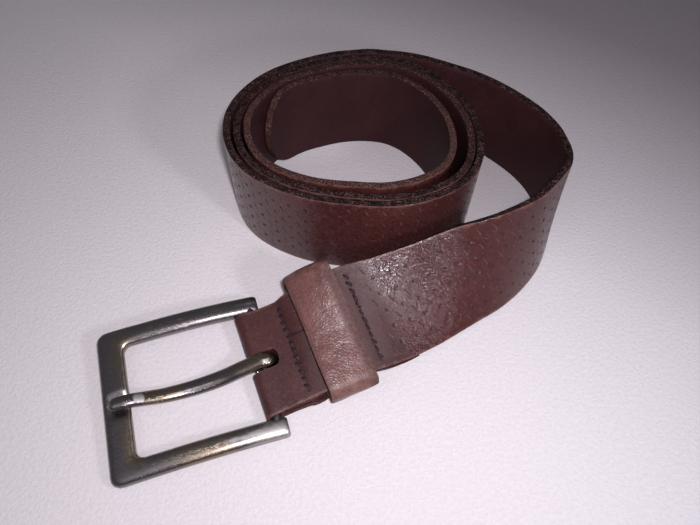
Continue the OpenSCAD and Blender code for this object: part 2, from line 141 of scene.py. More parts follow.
# Prong's width and height by distance from the bar, its loop's thickness and waist by turn round the bar
PRONG_WIDE = [0, 8, 18, 30, 44, 54], [6.0, 6.0, 6.1, 5.7, 5.0, 4.6]
PRONG_TALL = [0, 6, 14, 40, 54], [3.5, 3.4, 3.5, 3.3, 2.7]
PRONG_END, TIP_ROUND, CURL_ROUND, RUBBED_AT = [-58, 2.6], 2.4, 1.0, 44
LOOP_THICK = [-60, -20, 0, 30, 60, 90], [LOOP_R - BAR_R - LOOP_PLAY, 3.0, 3.5, 3.8, 3.8, 3.5]
LOOP_WAIST = [-60, 0, 75], [0.94, 0.86, 1]

# Camera: lens, sensor and place in millimetres, nearest view in metres, turn in degrees
LENS, SENSOR, CLIP_START = 29.83, 36.0, 0.005
CAMERA_AT, CAMERA_TURN = (2.68, -133.62, 199.4), (34.2832, -1.2242, 1.795)
# Lamps and floor, in metres: name, place, target, size and tint of a lamp
LAMPS = (
    ("key", (0.018, -0.138, 0.230), (-0.045, 0.02, 0.0), 0.016, (0.96, 0.92, 1.0)),
    ("side", (0.146, -0.142, 0.166), (0.0, 0.03, 0.01), 0.04, (0.88, 0.90, 1.0)),
    ("top", (-0.22, -0.22, 0.48), (-0.06, 0.0, 0.0), 0.30, (0.96, 0.92, 1.0)),
)
LAMP_SPREAD = math.radians(150)
# Half the floor's side, and the way along which painted shade darkens its cloth
FLOOR_HALF, PAINTED_SHADE_WAY = 3.0, (0.55, 0.83, 0.0)


class BeltLeather(PropertyGroup):
    """Leather of the strap and the keeper"""

    grain_colour: FloatVectorProperty(
        name="Grain colour", description="Colour of the strap's outer face", subtype="COLOR", size=3,
        min=0, max=1, default=(0.063, 0.0165, 0.0155))
    flesh_colour: FloatVectorProperty(
        name="Flesh colour", description="Colour of the strap's inner face", subtype="COLOR", size=3,
        min=0, max=1, default=(0.037, 0.0112, 0.0126))
    edge_colour: FloatVectorProperty(
        name="Edge colour", description="Colour of the cut edges", subtype="COLOR", size=3,
        min=0, max=1, default=(0.009, 0.005, 0.005))
    worn_colour: FloatVectorProperty(
        name="Worn colour", description="Colour where the finish has rubbed off", subtype="COLOR", size=3,
        min=0, max=1, default=(0.175, 0.083, 0.068))
    keeper_colour: FloatVectorProperty(
        name="Keeper colour", description="Colour of the keeper", subtype="COLOR", size=3,
        min=0, max=1, default=(0.139, 0.055, 0.050))
    keeper_edge_colour: FloatVectorProperty(
        name="Keeper edge colour", description="Colour of the keeper's edges and wear", subtype="COLOR", size=3,
        min=0, max=1, default=(0.215, 0.112, 0.082))
    mark_depth: FloatProperty(
        name="Mark depth", description="Depth of the pressed dots and dashes", unit="LENGTH",
        min=0, max=0.0006, default=0.00028, precision=5)
    mark_pitch: FloatProperty(
        name="Mark pitch", description="Distance between neighbouring rows of marks", unit="LENGTH",
        min=0.003, max=0.0036, default=0.0032, precision=5)


class BeltStitching(PropertyGroup):
    """Rows of stitches that hold the folded end"""

    count: IntProperty(name="Stitches", description="Stitches in a row", min=6, max=13, default=12)
    pitch: FloatProperty(
        name="Pitch", description="Distance between stitch holes", unit="LENGTH",
        min=0.002, max=0.0032, default=0.0028, precision=5)
    thread_radius: FloatProperty(
        name="Thread radius", description="Half the thread's thickness", unit="LENGTH",
        min=0.0003, max=0.0008, default=0.00062, precision=5)
    slant: FloatProperty(
        name="Slant", description="Angle of a stitch to its row", subtype="ANGLE",
        min=0, max=0.6, default=math.radians(22))
    thread_colour: FloatVectorProperty(
        name="Thread colour", description="Colour of the thread", subtype="COLOR", size=3,
        min=0, max=1, default=(0.027, 0.012, 0.017))


class BeltBuckle(PropertyGroup):
    """Metal of the buckle"""

    metal_colour: FloatVectorProperty(
        name="Metal colour", description="Colour of the darkened plating", subtype="COLOR", size=3,
        min=0, max=1, default=(0.215, 0.193, 0.20))
    bronze_colour: FloatVectorProperty(
        name="Bronze colour", description="Warm tint where the plating is thin", subtype="COLOR", size=3,
        min=0, max=1, default=(0.28, 0.225, 0.165))
    # Also paints the prong's highlight streak and knuckle glint.
    bright_colour: FloatVectorProperty(
        name="Bright colour", description="Colour of the metal where it is rubbed bright", subtype="COLOR",
        size=3, min=0, max=1, default=(0.52, 0.49, 0.47))


class BeltStage(PropertyGroup):
    """Floor and lights"""

    floor_colour: FloatVectorProperty(
        name="Floor colour", description="Colour of the cloth under the belt", subtype="COLOR", size=3,
        min=0, max=1, default=(0.80, 0.745, 0.752))
    # Painted shade: the cloth's colour at its far side.
    far_painted_shade_colour: FloatVectorProperty(
        name="Far colour", description="Colour of the cloth's far side", subtype="COLOR", size=3,
        min=0, max=1, default=(0.365, 0.310, 0.342))
    key_power: FloatProperty(
        name="Key power", description="Power of the lamp beside the camera", unit="POWER",
        min=0, max=10, default=0.375)
    side_power: FloatProperty(
        name="Side power", description="Power of the softer lamp to the right", unit="POWER",
        min=0, max=10, default=0.15)
    top_power: FloatProperty(
        name="Top power", description="Power of the wide lamp overhead", unit="POWER",
        min=0, max=10, default=0.12)
    fill_strength: FloatProperty(
        name="Fill strength", description="Strength of the light from all round", min=0, max=2, default=0.155)


def between(p0, p1, p2, p3, f):
    """A smooth curve's value at a share of the way from p1 to p2."""
    a, b, c = p2 - p0, 2 * p0 - 5 * p1 + 4 * p2 - p3, 3 * p1 - p0 - 3 * p2 + p3
    return p1 + (a * f + b * f**2 + c * f**3) / 2


def curve_points(points, parts):
    """A smooth curve through the points; the first and the last only give the end directions."""
    p = np.asarray(points, float)
    f = np.linspace(0, 1, parts, endpoint=False)[:, None]
    out = [between(*four, f) for four in zip(p[:-3], p[1:-2], p[2:-1], p[3:])]
    return np.vstack(out + [p[-2][None]])


def around(values, angle):
    """Value of a list that is spread evenly round a circle."""
    n = len(values)
    s = (angle / 360) % 1 * n
    i = int(s)
    return between(*(values[(i + k) % n] for k in (-1, 0, 1, 2)), s - i)


def unit(v):
    return v / np.linalg.norm(v, axis=-1, keepdims=True)


def ease(x):
    """Smooth step from 0 to 1."""
    x = np.clip(x, 0, 1)
    return x * x * (3 - 2 * x)


def bell(x, middle, width):
    """Smooth bump, 1 at its middle."""
    return np.exp(-(((x - middle) / width) ** 2))


def clear_of(lines, others, room):
    """Those of the lines that keep some room to all the others."""
    return lines[np.min(np.abs(lines[:, None] - others[None]), axis=1) > room]


def runs(points):
    """Distance along a line to each of its points."""
    return np.concatenate([[0], np.cumsum(np.linalg.norm(np.diff(points, axis=0), axis=1))])


def ripple(a, b, seed, count=7, low=0.15, high=0.9):
    """Smooth random height over two coordinates in millimetres, about -1 to 1."""
    rng = np.random.RandomState(seed)
    total = np.zeros(np.broadcast(a, b).shape)
    for _ in range(count):
        wave, turn, phase = rng.uniform(low, high), rng.uniform(0, math.tau), rng.uniform(0, math.tau)
        total += np.sin(wave * (a * math.cos(turn) + b * math.sin(turn)) + phase)
    return total / math.sqrt(count) / 1.3


def creases(a, b, seed, count, reach_a, reach_b):
    """Depth of fine creases over two coordinates in millimetres, 0 to 1."""
    rng = np.random.RandomState(seed)
    deep = np.zeros(np.broadcast(a, b).shape)
    for _ in range(count):
        da, db = a - rng.uniform(-reach_a, reach_a), b - rng.uniform(-reach_b, reach_b)
        turn, length, bow = rng.uniform(0, math.pi), rng.uniform(1.5, 5), rng.uniform(-0.06, 0.06)
        x = da * math.cos(turn) + db * math.sin(turn)
        y = db * math.cos(turn) - da * math.sin(turn) - bow * x * x
        line = bell(y, 0, 0.3) * ease((length - np.abs(x)) / 1.5)
        deep = np.maximum(deep, line * rng.uniform(0.4, 1))
    return deep


def coil_point(ring):
    turn = ring / RINGS_PER_TURN
    angle = 180 - 360 * turn
    slack = INNER_SLACK * math.sin(math.pi * turn) ** 2 if turn < 1 else 0
    r = around(COIL_REACH, angle) - around(COIL_STEP, angle) * (FULL_TURNS - turn) - slack - HALF_T
    return r * np.array([math.cos(math.radians(angle)), math.sin(math.radians(angle))])


def buckle_matrix(turn, tip=0.0):
    spin = Matrix.Rotation(turn, 4, "Z") @ Matrix.Rotation(BAR_LEAN, 4, "X") @ Matrix.Rotation(-tip, 4, "Y")
    return np.array(Matrix.Translation(BAR) @ spin)


def moved(matrix, points):
    return np.asarray(points) @ matrix[:3, :3].T + matrix[:3, 3]


class Strip:
    """The strap as one strip, from its tip to its tail: lower edge, across, out of the grain, thickness."""

    def __init__(self):
        ring = [coil_point(r) for r in range(TIP_RING, LAST_RING + 1)]
        arm_start = np.array(ARM_ROUTE[-1][:2], float)
        back = curve_points(
            [coil_point(LAST_RING - 4), coil_point(LAST_RING), *BACK_ROUTE, HINGE, arm_start], 4)
        line = np.vstack([ring, back[1:-1], HINGE + [0, HINGE_GAP / 2]])
        fine = curve_points(np.vstack([2 * line[0] - line[1], line, arm_start]), 4)
        travel = unit(np.gradient(fine, axis=0))
        coil = self.table(
            np.column_stack([fine, np.zeros(len(fine))]), [0, 0, 1],
            np.column_stack([-travel[:, 1], travel[:, 0], np.zeros(len(fine))]), STRAP_T)
        coil[:, :2] += COIL_AT
        self.ring_run = runs(fine)[4 * (OUTER_RING - TIP_RING)]

        self.arm_frames()
        arm = self.arm_table[::-1]
        fold, tail = self.fold_table(), self.tail_table()
        table = np.vstack([coil, arm, fold[1:-1], tail])
        middle = table[:, :3] + MID * table[:, 3:6]
        self.u = runs(middle)
        self.rows = table
        ends = np.cumsum([len(coil), len(arm), len(fold) - 2])
        self.u_hinge = self.u[ends[0]]
        self.arm_u = self.u[ends[0]:ends[1]][::-1]
        self.fold_u = self.u[ends[1] - 1:ends[2] + 1]
        self.tail_u = self.u[ends[2]:]

    @staticmethod
    def table(edge, across, out, thick):
        rows = np.zeros((len(edge), 10))
        rows[:, :3], rows[:, 3:6], rows[:, 6:9], rows[:, 9] = edge, across, out, thick
        return rows

    def arm_frames(self):
        """Frames of the free arm by distance from the bar."""
        to_world = buckle_matrix(FOLD_TURN)
        fold = moved(to_world, [[x, -MID, FOLD_IN_R + HALF_T] for x in (0, FOLD_LEN)]) - [*COIL_AT, 0]
        lean = math.degrees(BAR_LEAN)
        route = [[*p, lean] for p in fold]
        route += [[x, y, z + HALF_T * math.cos(math.radians(a)), a] for x, y, z, a in ARM_ROUTE]
        route += [[HINGE[0], HINGE[1] - HINGE_GAP / 2, 0, 90], [*BACK_ROUTE[-1], 0, 90]]
        line = curve_points(route, 16)
        tilt = np.radians(line[:, 3])
        line[:, 2] = np.maximum(line[:, 2], HALF_T * np.cos(tilt))
        self.d = runs(line[:, :2]) + FOLD_LEN
        ahead = np.minimum(np.arange(len(line)) + 6, len(line) - 1)
        behind = np.maximum(np.arange(len(line)) - 6, 0)
        step = line[ahead, :2] - line[behind, :2]
        heading = np.unwrap(np.arctan2(step[:, 1], step[:, 0]))
        turned = np.clip((self.d - FOLD_LEN) / (TURNED_AT - FOLD_LEN), 0, 1)
        turn = FOLD_TURN + turned * (heading - FOLD_TURN)
        s, c, st, ct = np.sin(turn), np.cos(turn), np.sin(tilt), np.cos(tilt)
        across, out = np.column_stack([-ct * s, ct * c, st]), np.column_stack([st * s, -st * c, ct])
        self.arm_table = self.table(line[:, :3] + [*COIL_AT, 0], across, out, STRAP_T)

    def arm_at(self, d):
        """Frames of the arm at distances from the bar."""
        return np.column_stack([np.interp(d, self.d, self.arm_table[:, k]) for k in range(10)])

    def fold_table(self):
        """Frames round the bar, from the arm to the tail: the leather is pared thin there."""
        rows = []
        for x in np.linspace(FOLD_LEN, FOLD_ROOM, 8):
            t = FOLD_T + (STRAP_T - FOLD_T) * (x - FOLD_ROOM) / (FOLD_LEN - FOLD_ROOM)
            rows.append([x, FOLD_IN_R + t / 2, 0, 1, t])
        r = FOLD_IN_R + FOLD_T / 2
        rows.append([0, r, 0, 1, FOLD_T])
        for a in np.radians(np.linspace(90, 270, 17)):
            rows.append([r * math.cos(a) - FOLD_ROOM, r * math.sin(a), math.cos(a), math.sin(a), FOLD_T])
        rows.append([0, -r, 0, -1, FOLD_T])
        low = FOLD_IN_R - FOLD_MOUTH
        mouth = FOLD_LEN - FOLD_ROOM
        faces = []
        for radius, z in ((FOLD_IN_R, low), (FOLD_OUT_R, low - STRAP_T)):
            a = math.atan2(z, mouth) - math.acos(radius / math.hypot(mouth, z))
            faces.append((radius * np.array([math.cos(a), math.sin(a)]), np.array([mouth, z])))
        for f in np.linspace(0, 1, 7):
            inner, outer = (start + (end - start) * f for start, end in faces)
            n = unit(outer - inner)
            rows.append([*((inner + outer) / 2 + [FOLD_ROOM, 0]), *n, np.linalg.norm(outer - inner)])
        rows = np.array(rows)
        matrix = buckle_matrix(FOLD_TURN)
        edge = moved(matrix, np.column_stack([rows[:, 0], np.full(len(rows), -MID), rows[:, 1]]))
        out = np.column_stack([rows[:, 2], np.zeros(len(rows)), rows[:, 3]]) @ matrix[:3, :3].T
        self.fold_x = rows[:, 0]
        return self.table(edge, matrix[:3, 1], out, rows[:, 4])

    def tail_table(self):
        self.tail_d = np.linspace(FOLD_LEN, TAIL_LEN, 60)
        rows = self.arm_at(self.tail_d)
        gap, thick = layer_gap(self.tail_d), tail_thickness(self.tail_d)
        rows[:, :3] -= (HALF_T + gap + thick / 2)[:, None] * rows[:, 6:9]
        line = curve_points(TAIL_SHIFT, 6)
        rows[:, :3] -= np.interp(self.tail_d, line[:, 0], line[:, 1])[:, None] * rows[:, 3:6]
        rows[:, 6:9] *= -1
        rows[:, 9] = thick
        return rows

    def u_of(self, d):
        return np.interp(d, self.d, self.arm_u)

    def tail_u_of(self, d):
        return np.interp(d, self.tail_d, self.tail_u)

    def points(self, u, v, g):
        """Points at distances u along, v across from the lower edge, and g out of the middle of the leather."""
        k = [np.interp(u, self.u, self.rows[:, c]) for c in range(9)]
        edge, across, out = (np.stack(k[c:c + 3], axis=-1) for c in (0, 3, 6))
        return edge + v[..., None] * unit(across) + g[..., None] * unit(out)

    def thickness(self, u):
        return np.interp(u, self.u, self.rows[:, 9])


def layer_gap(d):
    line = curve_points(LAYER_GAPS, 8)
    return np.interp(d, line[:, 0], line[:, 1])


def tail_thickness(d):
    return STRAP_T - (STRAP_T - TAIL_END_T) * np.maximum(0, d - TAIL_LEN + PARED_LEN) / PARED_LEN


STRIP = Strip()

# Lines of the strap's mesh on both sides of a pressed mark: dots and dashes take turns
DOT, DASH_U, DASH_V = (0.52, 0.70, 0.82), (0.13, 0.32, 0.44), (1.15, 1.4, 1.52)
# Reach of a dot, and of a dash and of the lines that slant with it: along, across
DOT_REACH, DASH_REACH, SLANT_REACH = 0.6, (0.2, 1.2), (0.6, 1.6)
MARK_ROWS, MARK_SLANT, MARK_END = 5, 0.45, REAR_ROW + 3.5
# Half the length of the bend's piece, half the side of the square cut round a prong hole, room round a line
BEND_HALF, HOLE_BOX, NEAR = 18, 3, 0.01
# Steps of the mesh along the plain strap and along the sewn end
PLAIN_STEP, SEWN_STEP = 2.4, 2.2
# Cut edges are paler up to this length from the tip, and within this distance from the bar
PALE_TO, PALE_FADE, PALE_FROM = 300.0, 90, 24
# Sewn end: painted shade between these distances from the bar, and dull within the last
PAINTED_SHADE_FAR, PAINTED_SHADE_NEAR, DULL_FROM = 54, 30, 56
# Bend: reach of the painted shade and of the dullness along the strap
BEND_PAINTED_SHADE, BEND_DULL = 28, 24
# Cut edges: step of their fraying across, its limit, their roughness; width of the worn border of the grain
FRAY, FRAY_MOST, RIM_ROUGH, BORDER = 0.07, 2.2, 0.035, 1.9
GRAIN, RIM, FLESH = 0, 1, 2
# Order of the leather's materials: grain, flesh, rim
MATERIAL_OF_KIND = np.array([0, 2, 1], np.int32)
# Edges that turn more than this stay sharp
SHARP = math.radians(50)


def mark_lines(centre, pitch, first, last, dot, dash):
    """Mesh lines beside the marks, numbered from a centre; even numbers hold dots and odd ones dashes."""
    return [
        centre + i * pitch + side * off
        for i in range(first, last + 1)
        for side in (-1, 1)
        for off in (dash if i % 2 else dot)
    ]


def mark_depths(u, v, start, pitch):
    """Share of the depth of dots and of dashes at points of the strap, and the sideways slant of the dashes."""
    i, j = np.rint((u - start) / pitch), np.rint((v - MID) / pitch)
    du, dv = np.abs(u - start - i * pitch), np.abs(v - MID - j * pitch)
    inside = (np.abs(j) <= MARK_ROWS) & (i >= 0)
    dots = inside & (i % 2 == 0) & (j % 2 == 0) & (du < DOT_REACH) & (dv < DOT_REACH)
    dash = inside & (i % 2 == 1) & (j % 2 == 1)
    groove = dash & (du < DASH_REACH[0]) & (dv < DASH_REACH[1])
    wear = 0.72 + 0.28 * np.sin(12.9898 * i + 78.233 * j)
    beside = dash & (du < SLANT_REACH[0]) & (dv < SLANT_REACH[1])
    slant = np.where(beside, MARK_SLANT * (v - MID - j * pitch), 0)
    return np.where(dots, wear, 0), np.where(groove, wear, 0), slant


def strap_loop(grain_lines, flesh_lines):
    """The strap's closed section: v, share of half the thickness, offset and kind of each point."""
    rim = [
        (-0.18, 1, -0.07, GRAIN), (-0.06, 1, -0.24, RIM), (0, 1, -0.65, RIM),
        (0, -1, 0.5, RIM), (-0.07, -1, 0.15, RIM),
    ]
    loop = [(v, 1, 0, GRAIN) for v in grain_lines]
    loop += [(STRAP_W + a, b, c, k) for a, b, c, k in rim]
    loop += [(v, -1, 0, FLESH) for v in flesh_lines[::-1]]
    loop += [(-a, b, c, k) for a, b, c, k in rim[::-1]]
    return np.array(loop)


def face_kinds(kind):
    """Kind of each face of a section: a cut edge, unless both its ends are of one other kind."""
    return np.where((kind == np.roll(kind, -1)) & (kind != RIM), kind, RIM)


def row_grooves(u, v):
    """Share of the depth of the grooves that the stitch rows pull, at points of the strap."""
    row = np.zeros_like(u)
    for d in (FRONT_ROW, REAR_ROW):
        for middle in (STRIP.u_of(d), STRIP.tail_u_of(d)):
            row = np.maximum(row, bell(u, middle, GROOVE_W) * (np.abs(u - middle) < GROOVE_REACH))
    return row * (np.abs(v - MID) < ROW_HALF)


def band_faces(one, other):
    """Faces between two rings of as many points."""
    return [[one[k - 1], one[k], other[k], other[k - 1]] for k in (*range(1, len(one)), 0)]


def opening_faces(opening, u, loop, first_new):
    """Walls of a prong hole or the slot: faces, their kinds, new points, cut spans and the grain's rim."""
    i0, i1, low, high, *hole = opening
    m = len(loop)
    inside = (loop[:, 2] == 0) & (loop[:, 0] > low - NEAR) & (loop[:, 0] < high + NEAR)
    faces, kinds, extra, spans, rings = [], [], [], [], []
    for side in (GRAIN, FLESH):
        ks = np.nonzero((loop[:, 3] == side) & inside)[0]
        if side == FLESH:
            ks = ks[::-1]
        spans.append(slice(min(ks), max(ks)))
        rim = [(i0, k) for k in ks[:-1]] + [(i, ks[-1]) for i in range(i0, i1)]
        rim += [(i1, k) for k in ks[:0:-1]] + [(i, ks[0]) for i in range(i1, i0, -1)]
        ids = [i * m + k for i, k in rim]
        if hole:
            du = np.array([u[i, k] for i, k in rim]) - hole[0]
            dv = np.array([loop[k, 0] for i, k in rim]) - MID
            reach = HOLE_R / np.hypot(du, dv)
            ring_g = np.full(len(ids), (1 if side == GRAIN else -1) * (HALF_T - 0.1))
            extra.append(STRIP.points(hole[0] + du * reach, MID + dv * reach, ring_g))
            new = list(range(first_new, first_new + len(ids)))
            first_new += len(ids)
            faces += [quad if side == GRAIN else quad[::-1] for quad in band_faces(ids, new)]
            kinds += [side] * len(ids)
            ids = new
        rings.append(ids)
    faces += band_faces(*rings)
    kinds += [RIM] * len(rings[0])
    return faces, kinds, extra, spans, rings[0]


def strap_shade_and_wear(u, grain):
    """Painted shade, pale edges and dullness at points of the strap."""
    painted_shade_from, painted_shade_to, dull_from, pale_from = STRIP.u_of([PAINTED_SHADE_FAR, PAINTED_SHADE_NEAR, DULL_FROM, PALE_FROM])
    # Painted shade darkens the grain from under the keeper's rear edge to past the rear row, and round the
    # bend.
    sewn_painted_shade = 0.32 * ease((u - painted_shade_from) / 8) * (1 - ease((u - painted_shade_to) / 6))
    painted_shade = np.maximum(sewn_painted_shade, 0.3 * bell(u, STRIP.u_hinge, BEND_PAINTED_SHADE)) * grain
    pale = np.maximum(1 - ease((u - PALE_TO) / PALE_FADE), 1.6 * ease((u - pale_from) / 6))
    dull = np.maximum(ease((u - dull_from) / 12), 0.6 * bell(u, STRIP.u_hinge, BEND_DULL))
    return painted_shade, pale, dull


def strap_mesh(name, u_lines, loop, marks_from, pitch, depth, holes=(), slot=None, seed=1):
    """One length of the strap, with its pressed marks, cut edges, prong holes and prong slot."""
    n, m = len(u_lines), len(loop)
    u = np.repeat(u_lines[:, None], m, axis=1)
    v = np.repeat(loop[None, :, 0], n, axis=0)
    kind = loop[:, 3].astype(int)
    grain, rough = kind == GRAIN, kind == RIM
    marked = grain & (loop[:, 2] == 0) & (u < STRIP.u_of(MARK_END))
    pit, press, slant = (value * marked for value in mark_depths(u, v, marks_from, pitch))
    u = u + slant
    row = row_grooves(u, v) * grain
    if slot:
        first, last, low, high = slot
        inside = (v[0] > low + NEAR) & (v[0] < high - NEAR)
        off = np.abs((v[0] - SLOT_AT) * 2 / SLOT_W)
        bulge = SLOT_END * np.maximum(0, 1 - off**SLOT_POWER) ** (1 / SLOT_POWER)
        u[first, inside] -= bulge[inside]
        u[last, inside] += bulge[inside]
    g = loop[:, 1] * (STRIP.thickness(u) / 2) + loop[:, 2]
    rng = np.random.RandomState(seed)
    frayed = rough * np.abs(rng.normal(0, 1, (n, m)))
    v = v + np.where(v < MID, 1, -1) * np.minimum(frayed, FRAY_MOST) * FRAY
    g = g + rough * rng.normal(0, RIM_ROUGH, (n, m))
    g = g - depth * (pit + press) - GROOVE_DEPTH * row
    share = np.clip((1 - u / TIP_LEN), 0, 1)
    flare = FOLD_FLARE * bell(u, STRIP.fold_u.mean(), FLARE_REACH)
    v = MID + (v - MID) * (np.sqrt(1 - share**2) + flare / MID)
    points = STRIP.points(u, v, g).reshape(-1, 3)
    edge = np.clip(1 - np.minimum(loop[:, 0], STRAP_W - loop[:, 0]) / BORDER, 0, 1) * grain
    edge = np.repeat(edge[None], n, axis=0)

    openings = [slot] if slot else []
    for hole in holes:
        ends = (int(np.argmin(np.abs(u_lines - hole - s))) for s in (-HOLE_BOX, HOLE_BOX))
        openings.append((*ends, MID - HOLE_BOX, MID + HOLE_BOX, hole))
    faces, kinds = [], []
    cut = np.zeros((n, m), bool)
    for opening in openings:
        walls, wall_kinds, extra, spans, rim = opening_faces(opening, u, loop, len(points))
        faces += walls
        kinds += wall_kinds
        points = np.vstack([points, *extra])
        for span in spans:
            cut[opening[0]:opening[1], span] = True
        if opening is slot:
            edge.ravel()[rim] = 0.4
    segment = face_kinds(kind)
    for i in range(n - 1):
        for k in range(m):
            if not cut[i, k]:
                j = (k + 1) % m
                faces.append([i * m + k, i * m + j, (i + 1) * m + j, (i + 1) * m + k])
                kinds.append(segment[k])
    faces += [list(range(m))[::-1], [(n - 1) * m + k for k in range(m)]]
    kinds += [RIM, RIM]

    painted_shade, pale, dull = strap_shade_and_wear(u, grain)
    # The grain's colour darkens with this mask: painted shade in the pressed dots, dirt and painted shade in
    # the stitch grooves, and painted shade behind the keeper and round the bend.
    pit = np.maximum(np.maximum(pit, row), painted_shade)
    values = {"pit": pit, "press": press, "edge": edge, "pale": pale, "dull": dull}
    attributes = {key: np.pad(value.ravel(), (0, len(points) - n * m)) for key, value in values.items()}
    return make_piece(name, points, faces, MATERIAL_OF_KIND[kinds], attributes)


def make_piece(name, points, faces, slots, attributes):
    """An object at the origin whose mesh is in place, from points in millimetres."""
    mesh = bpy.data.meshes.new(name)
    mesh.from_pydata((np.asarray(points) * MM).tolist(), [], [list(map(int, f)) for f in faces])
    mesh.polygons.foreach_set("material_index", np.asarray(slots, np.int32))
    for key, values in attributes.items():
        mesh.attributes.new(key, "FLOAT", "POINT").data.foreach_set("value", np.asarray(values, np.float32))
    mesh.polygons.foreach_set("use_smooth", np.ones(len(mesh.polygons), bool))
    mesh.set_sharp_from_angle(angle=SHARP)
    mesh.update()
    piece = bpy.data.objects.new(name, mesh)
    bpy.context.scene.collection.objects.link(piece)
    return piece


def loft(name, rings, attributes, slots=None):
    """A skin through rings of points, closed by a cap at each end."""
    n, m = rings.shape[:2]
    kinds = np.zeros(m, np.int32) if slots is None else slots
    faces = []
    for a in range(0, (n - 1) * m, m):
        for k in range(m):
            j = (k + 1) % m
            faces.append([a + k, a + j, a + m + j, a + m + k])
    faces += [list(range(m))[::-1], [(n - 1) * m + k for k in range(m)]]
    slots = np.append(np.tile(kinds, n - 1), [kinds[0], kinds[0]])
    return make_piece(name, rings.reshape(-1, 3), faces, slots, attributes)


def superellipse(angles, power):
    """Points of a rounded section, 1 wide and 1 high each way."""
    c, s = np.cos(angles), np.sin(angles)
    return np.sign(c) * np.abs(c) ** (2 / power), np.sign(s) * np.abs(s) ** (2 / power)


# Materials

def add(tree, kind, inputs=None, **settings):
    """A node with its settings and inputs; an input that is a socket is linked."""
    made = tree.nodes.new(kind)
    for key, value in settings.items():
        setattr(made, key, value)
    for key, value in (inputs or {}).items():
        if isinstance(value, bpy.types.NodeSocket):
            tree.links.new(value, made.inputs[key])
        else:
            made.inputs[key].default_value = value
    return made


def math_node(tree, operation, a, b=0.5, clamp=False):
    return add(tree, "ShaderNodeMath", {0: a, 1: b}, operation=operation, use_clamp=clamp).outputs[0]


def times(tree, a, b):
    return math_node(tree, "MULTIPLY", a, b)


def plus(tree, a, b):
    return math_node(tree, "ADD", a, b)


def spread(tree, value, low, high, to_low=0.0, to_high=1.0):
    limits = {"From Min": low, "From Max": high, "To Min": to_low, "To Max": to_high}
    return add(tree, "ShaderNodeMapRange", {"Value": value, **limits}).outputs["Result"]


def mixed(tree, share, a, b):
    return add(tree, "ShaderNodeMix", {0: share, 6: a, 7: b}, data_type="RGBA").outputs[2]


def layered(tree, base, *layers):
    """A colour with others laid over it, each by its share."""
    for share, over in layers:
        base = mixed(tree, share, base, over)
    return base


def noise(tree, vector, scale, detail=3.0, rough=0.55):
    inputs = {"Vector": vector, "Scale": scale, "Detail": detail, "Roughness": rough}
    return add(tree, "ShaderNodeTexNoise", inputs).outputs[0]


def attribute(tree, name):
    return add(tree, "ShaderNodeAttribute", attribute_name=name).outputs["Fac"]


def colour(rgb, share=1.0):
    return (*(min(1, c * share) for c in rgb), 1)


def group(name, inputs, outputs):
    """An empty shader group with float inputs, a vector and float outputs."""
    tree = bpy.data.node_groups.new(name, "ShaderNodeTree")
    tree.interface.new_socket("Vector", in_out="INPUT", socket_type="NodeSocketVector")
    for key, value in inputs.items():
        tree.interface.new_socket(key, in_out="INPUT", socket_type="NodeSocketFloat").default_value = value
    for key in outputs:
        tree.interface.new_socket(key, in_out="OUTPUT", socket_type="NodeSocketFloat")
    return tree, add(tree, "NodeGroupInput").outputs, add(tree, "NodeGroupOutput").inputs


def pebble_group():
    """Leather's pebbled grain: height, slow change of tone, and fine creases."""
    tree, get, put = group("leather pebble", {"Cells": 850.0}, ("Height", "Tone", "Creases"))
    where = get["Vector"]
    wobble = add(tree, "ShaderNodeTexNoise", {"Vector": where, "Scale": 300.0, "Detail": 2.0}).outputs["Color"]
    shift = add(tree, "ShaderNodeVectorMath", {0: wobble, "Scale": 0.0012}, operation="SCALE").outputs[0]
    bent = add(tree, "ShaderNodeVectorMath", {0: where, 1: shift}, operation="ADD").outputs[0]

    def cell_edges(scale):
        inputs = {"Vector": bent, "Scale": scale}
        return add(tree, "ShaderNodeTexVoronoi", inputs, feature="DISTANCE_TO_EDGE").outputs["Distance"]

    tops = spread(tree, cell_edges(get["Cells"]), 0.0, 0.28)
    fine = noise(tree, where, 3600.0, 2.0)
    tree.links.new(plus(tree, times(tree, tops, 0.75), times(tree, fine, 0.35)), put["Height"])
    slow, quick = noise(tree, where, 38.0, 4.0), noise(tree, where, 420.0, 3.0)
    tone = plus(tree, times(tree, slow, 0.6), times(tree, quick, 0.4))
    tree.links.new(spread(tree, tone, 0.33, 0.67), put["Tone"])
    lines = cell_edges(times(tree, get["Cells"], 0.6))
    tree.links.new(spread(tree, lines, 0.0, 0.09, 1.0, 0.0), put["Creases"])
    return tree


def rub_group():
    """Patchy rubbing: turns a mask into broken wear, with fine scratches."""
    tree, get, put = group(
        "rubbed finish", {"Mask": 0.0, "Patches": 260.0, "Amount": 0.5, "Ragged": 1.0}, ("Wear", "Scratches"))
    where = get["Vector"]
    patch = times(tree, noise(tree, where, get["Patches"], 5.0, 0.65), get["Ragged"])
    reach = plus(tree, times(tree, get["Mask"], get["Amount"]), patch)
    tree.links.new(spread(tree, reach, 0.62, 0.86), put["Wear"])
    turn = {"Vector": where, "Rotation": (0.3, 0.2, 0.7), "Scale": (1, 9, 1)}
    thin = noise(tree, add(tree, "ShaderNodeMapping", turn).outputs[0], 330.0, 3.0, 0.5)
    off = math_node(tree, "ABSOLUTE", math_node(tree, "SUBTRACT", thin, 0.5))
    tree.links.new(spread(tree, off, 0.0, 0.012, 1.0, 0.0), put["Scratches"])
    return tree


def material(name, shader_inputs):
    """A new material's tree, its Principled shader and Object coordinates."""
    made = bpy.data.materials.new(name)
    made.use_nodes = True
    tree = made.node_tree
    shader = tree.nodes["Principled BSDF"]
    for key, value in shader_inputs.items():
        shader.inputs[key].default_value = value
    return tree, shader, add(tree, "ShaderNodeTexCoord").outputs["Object"]


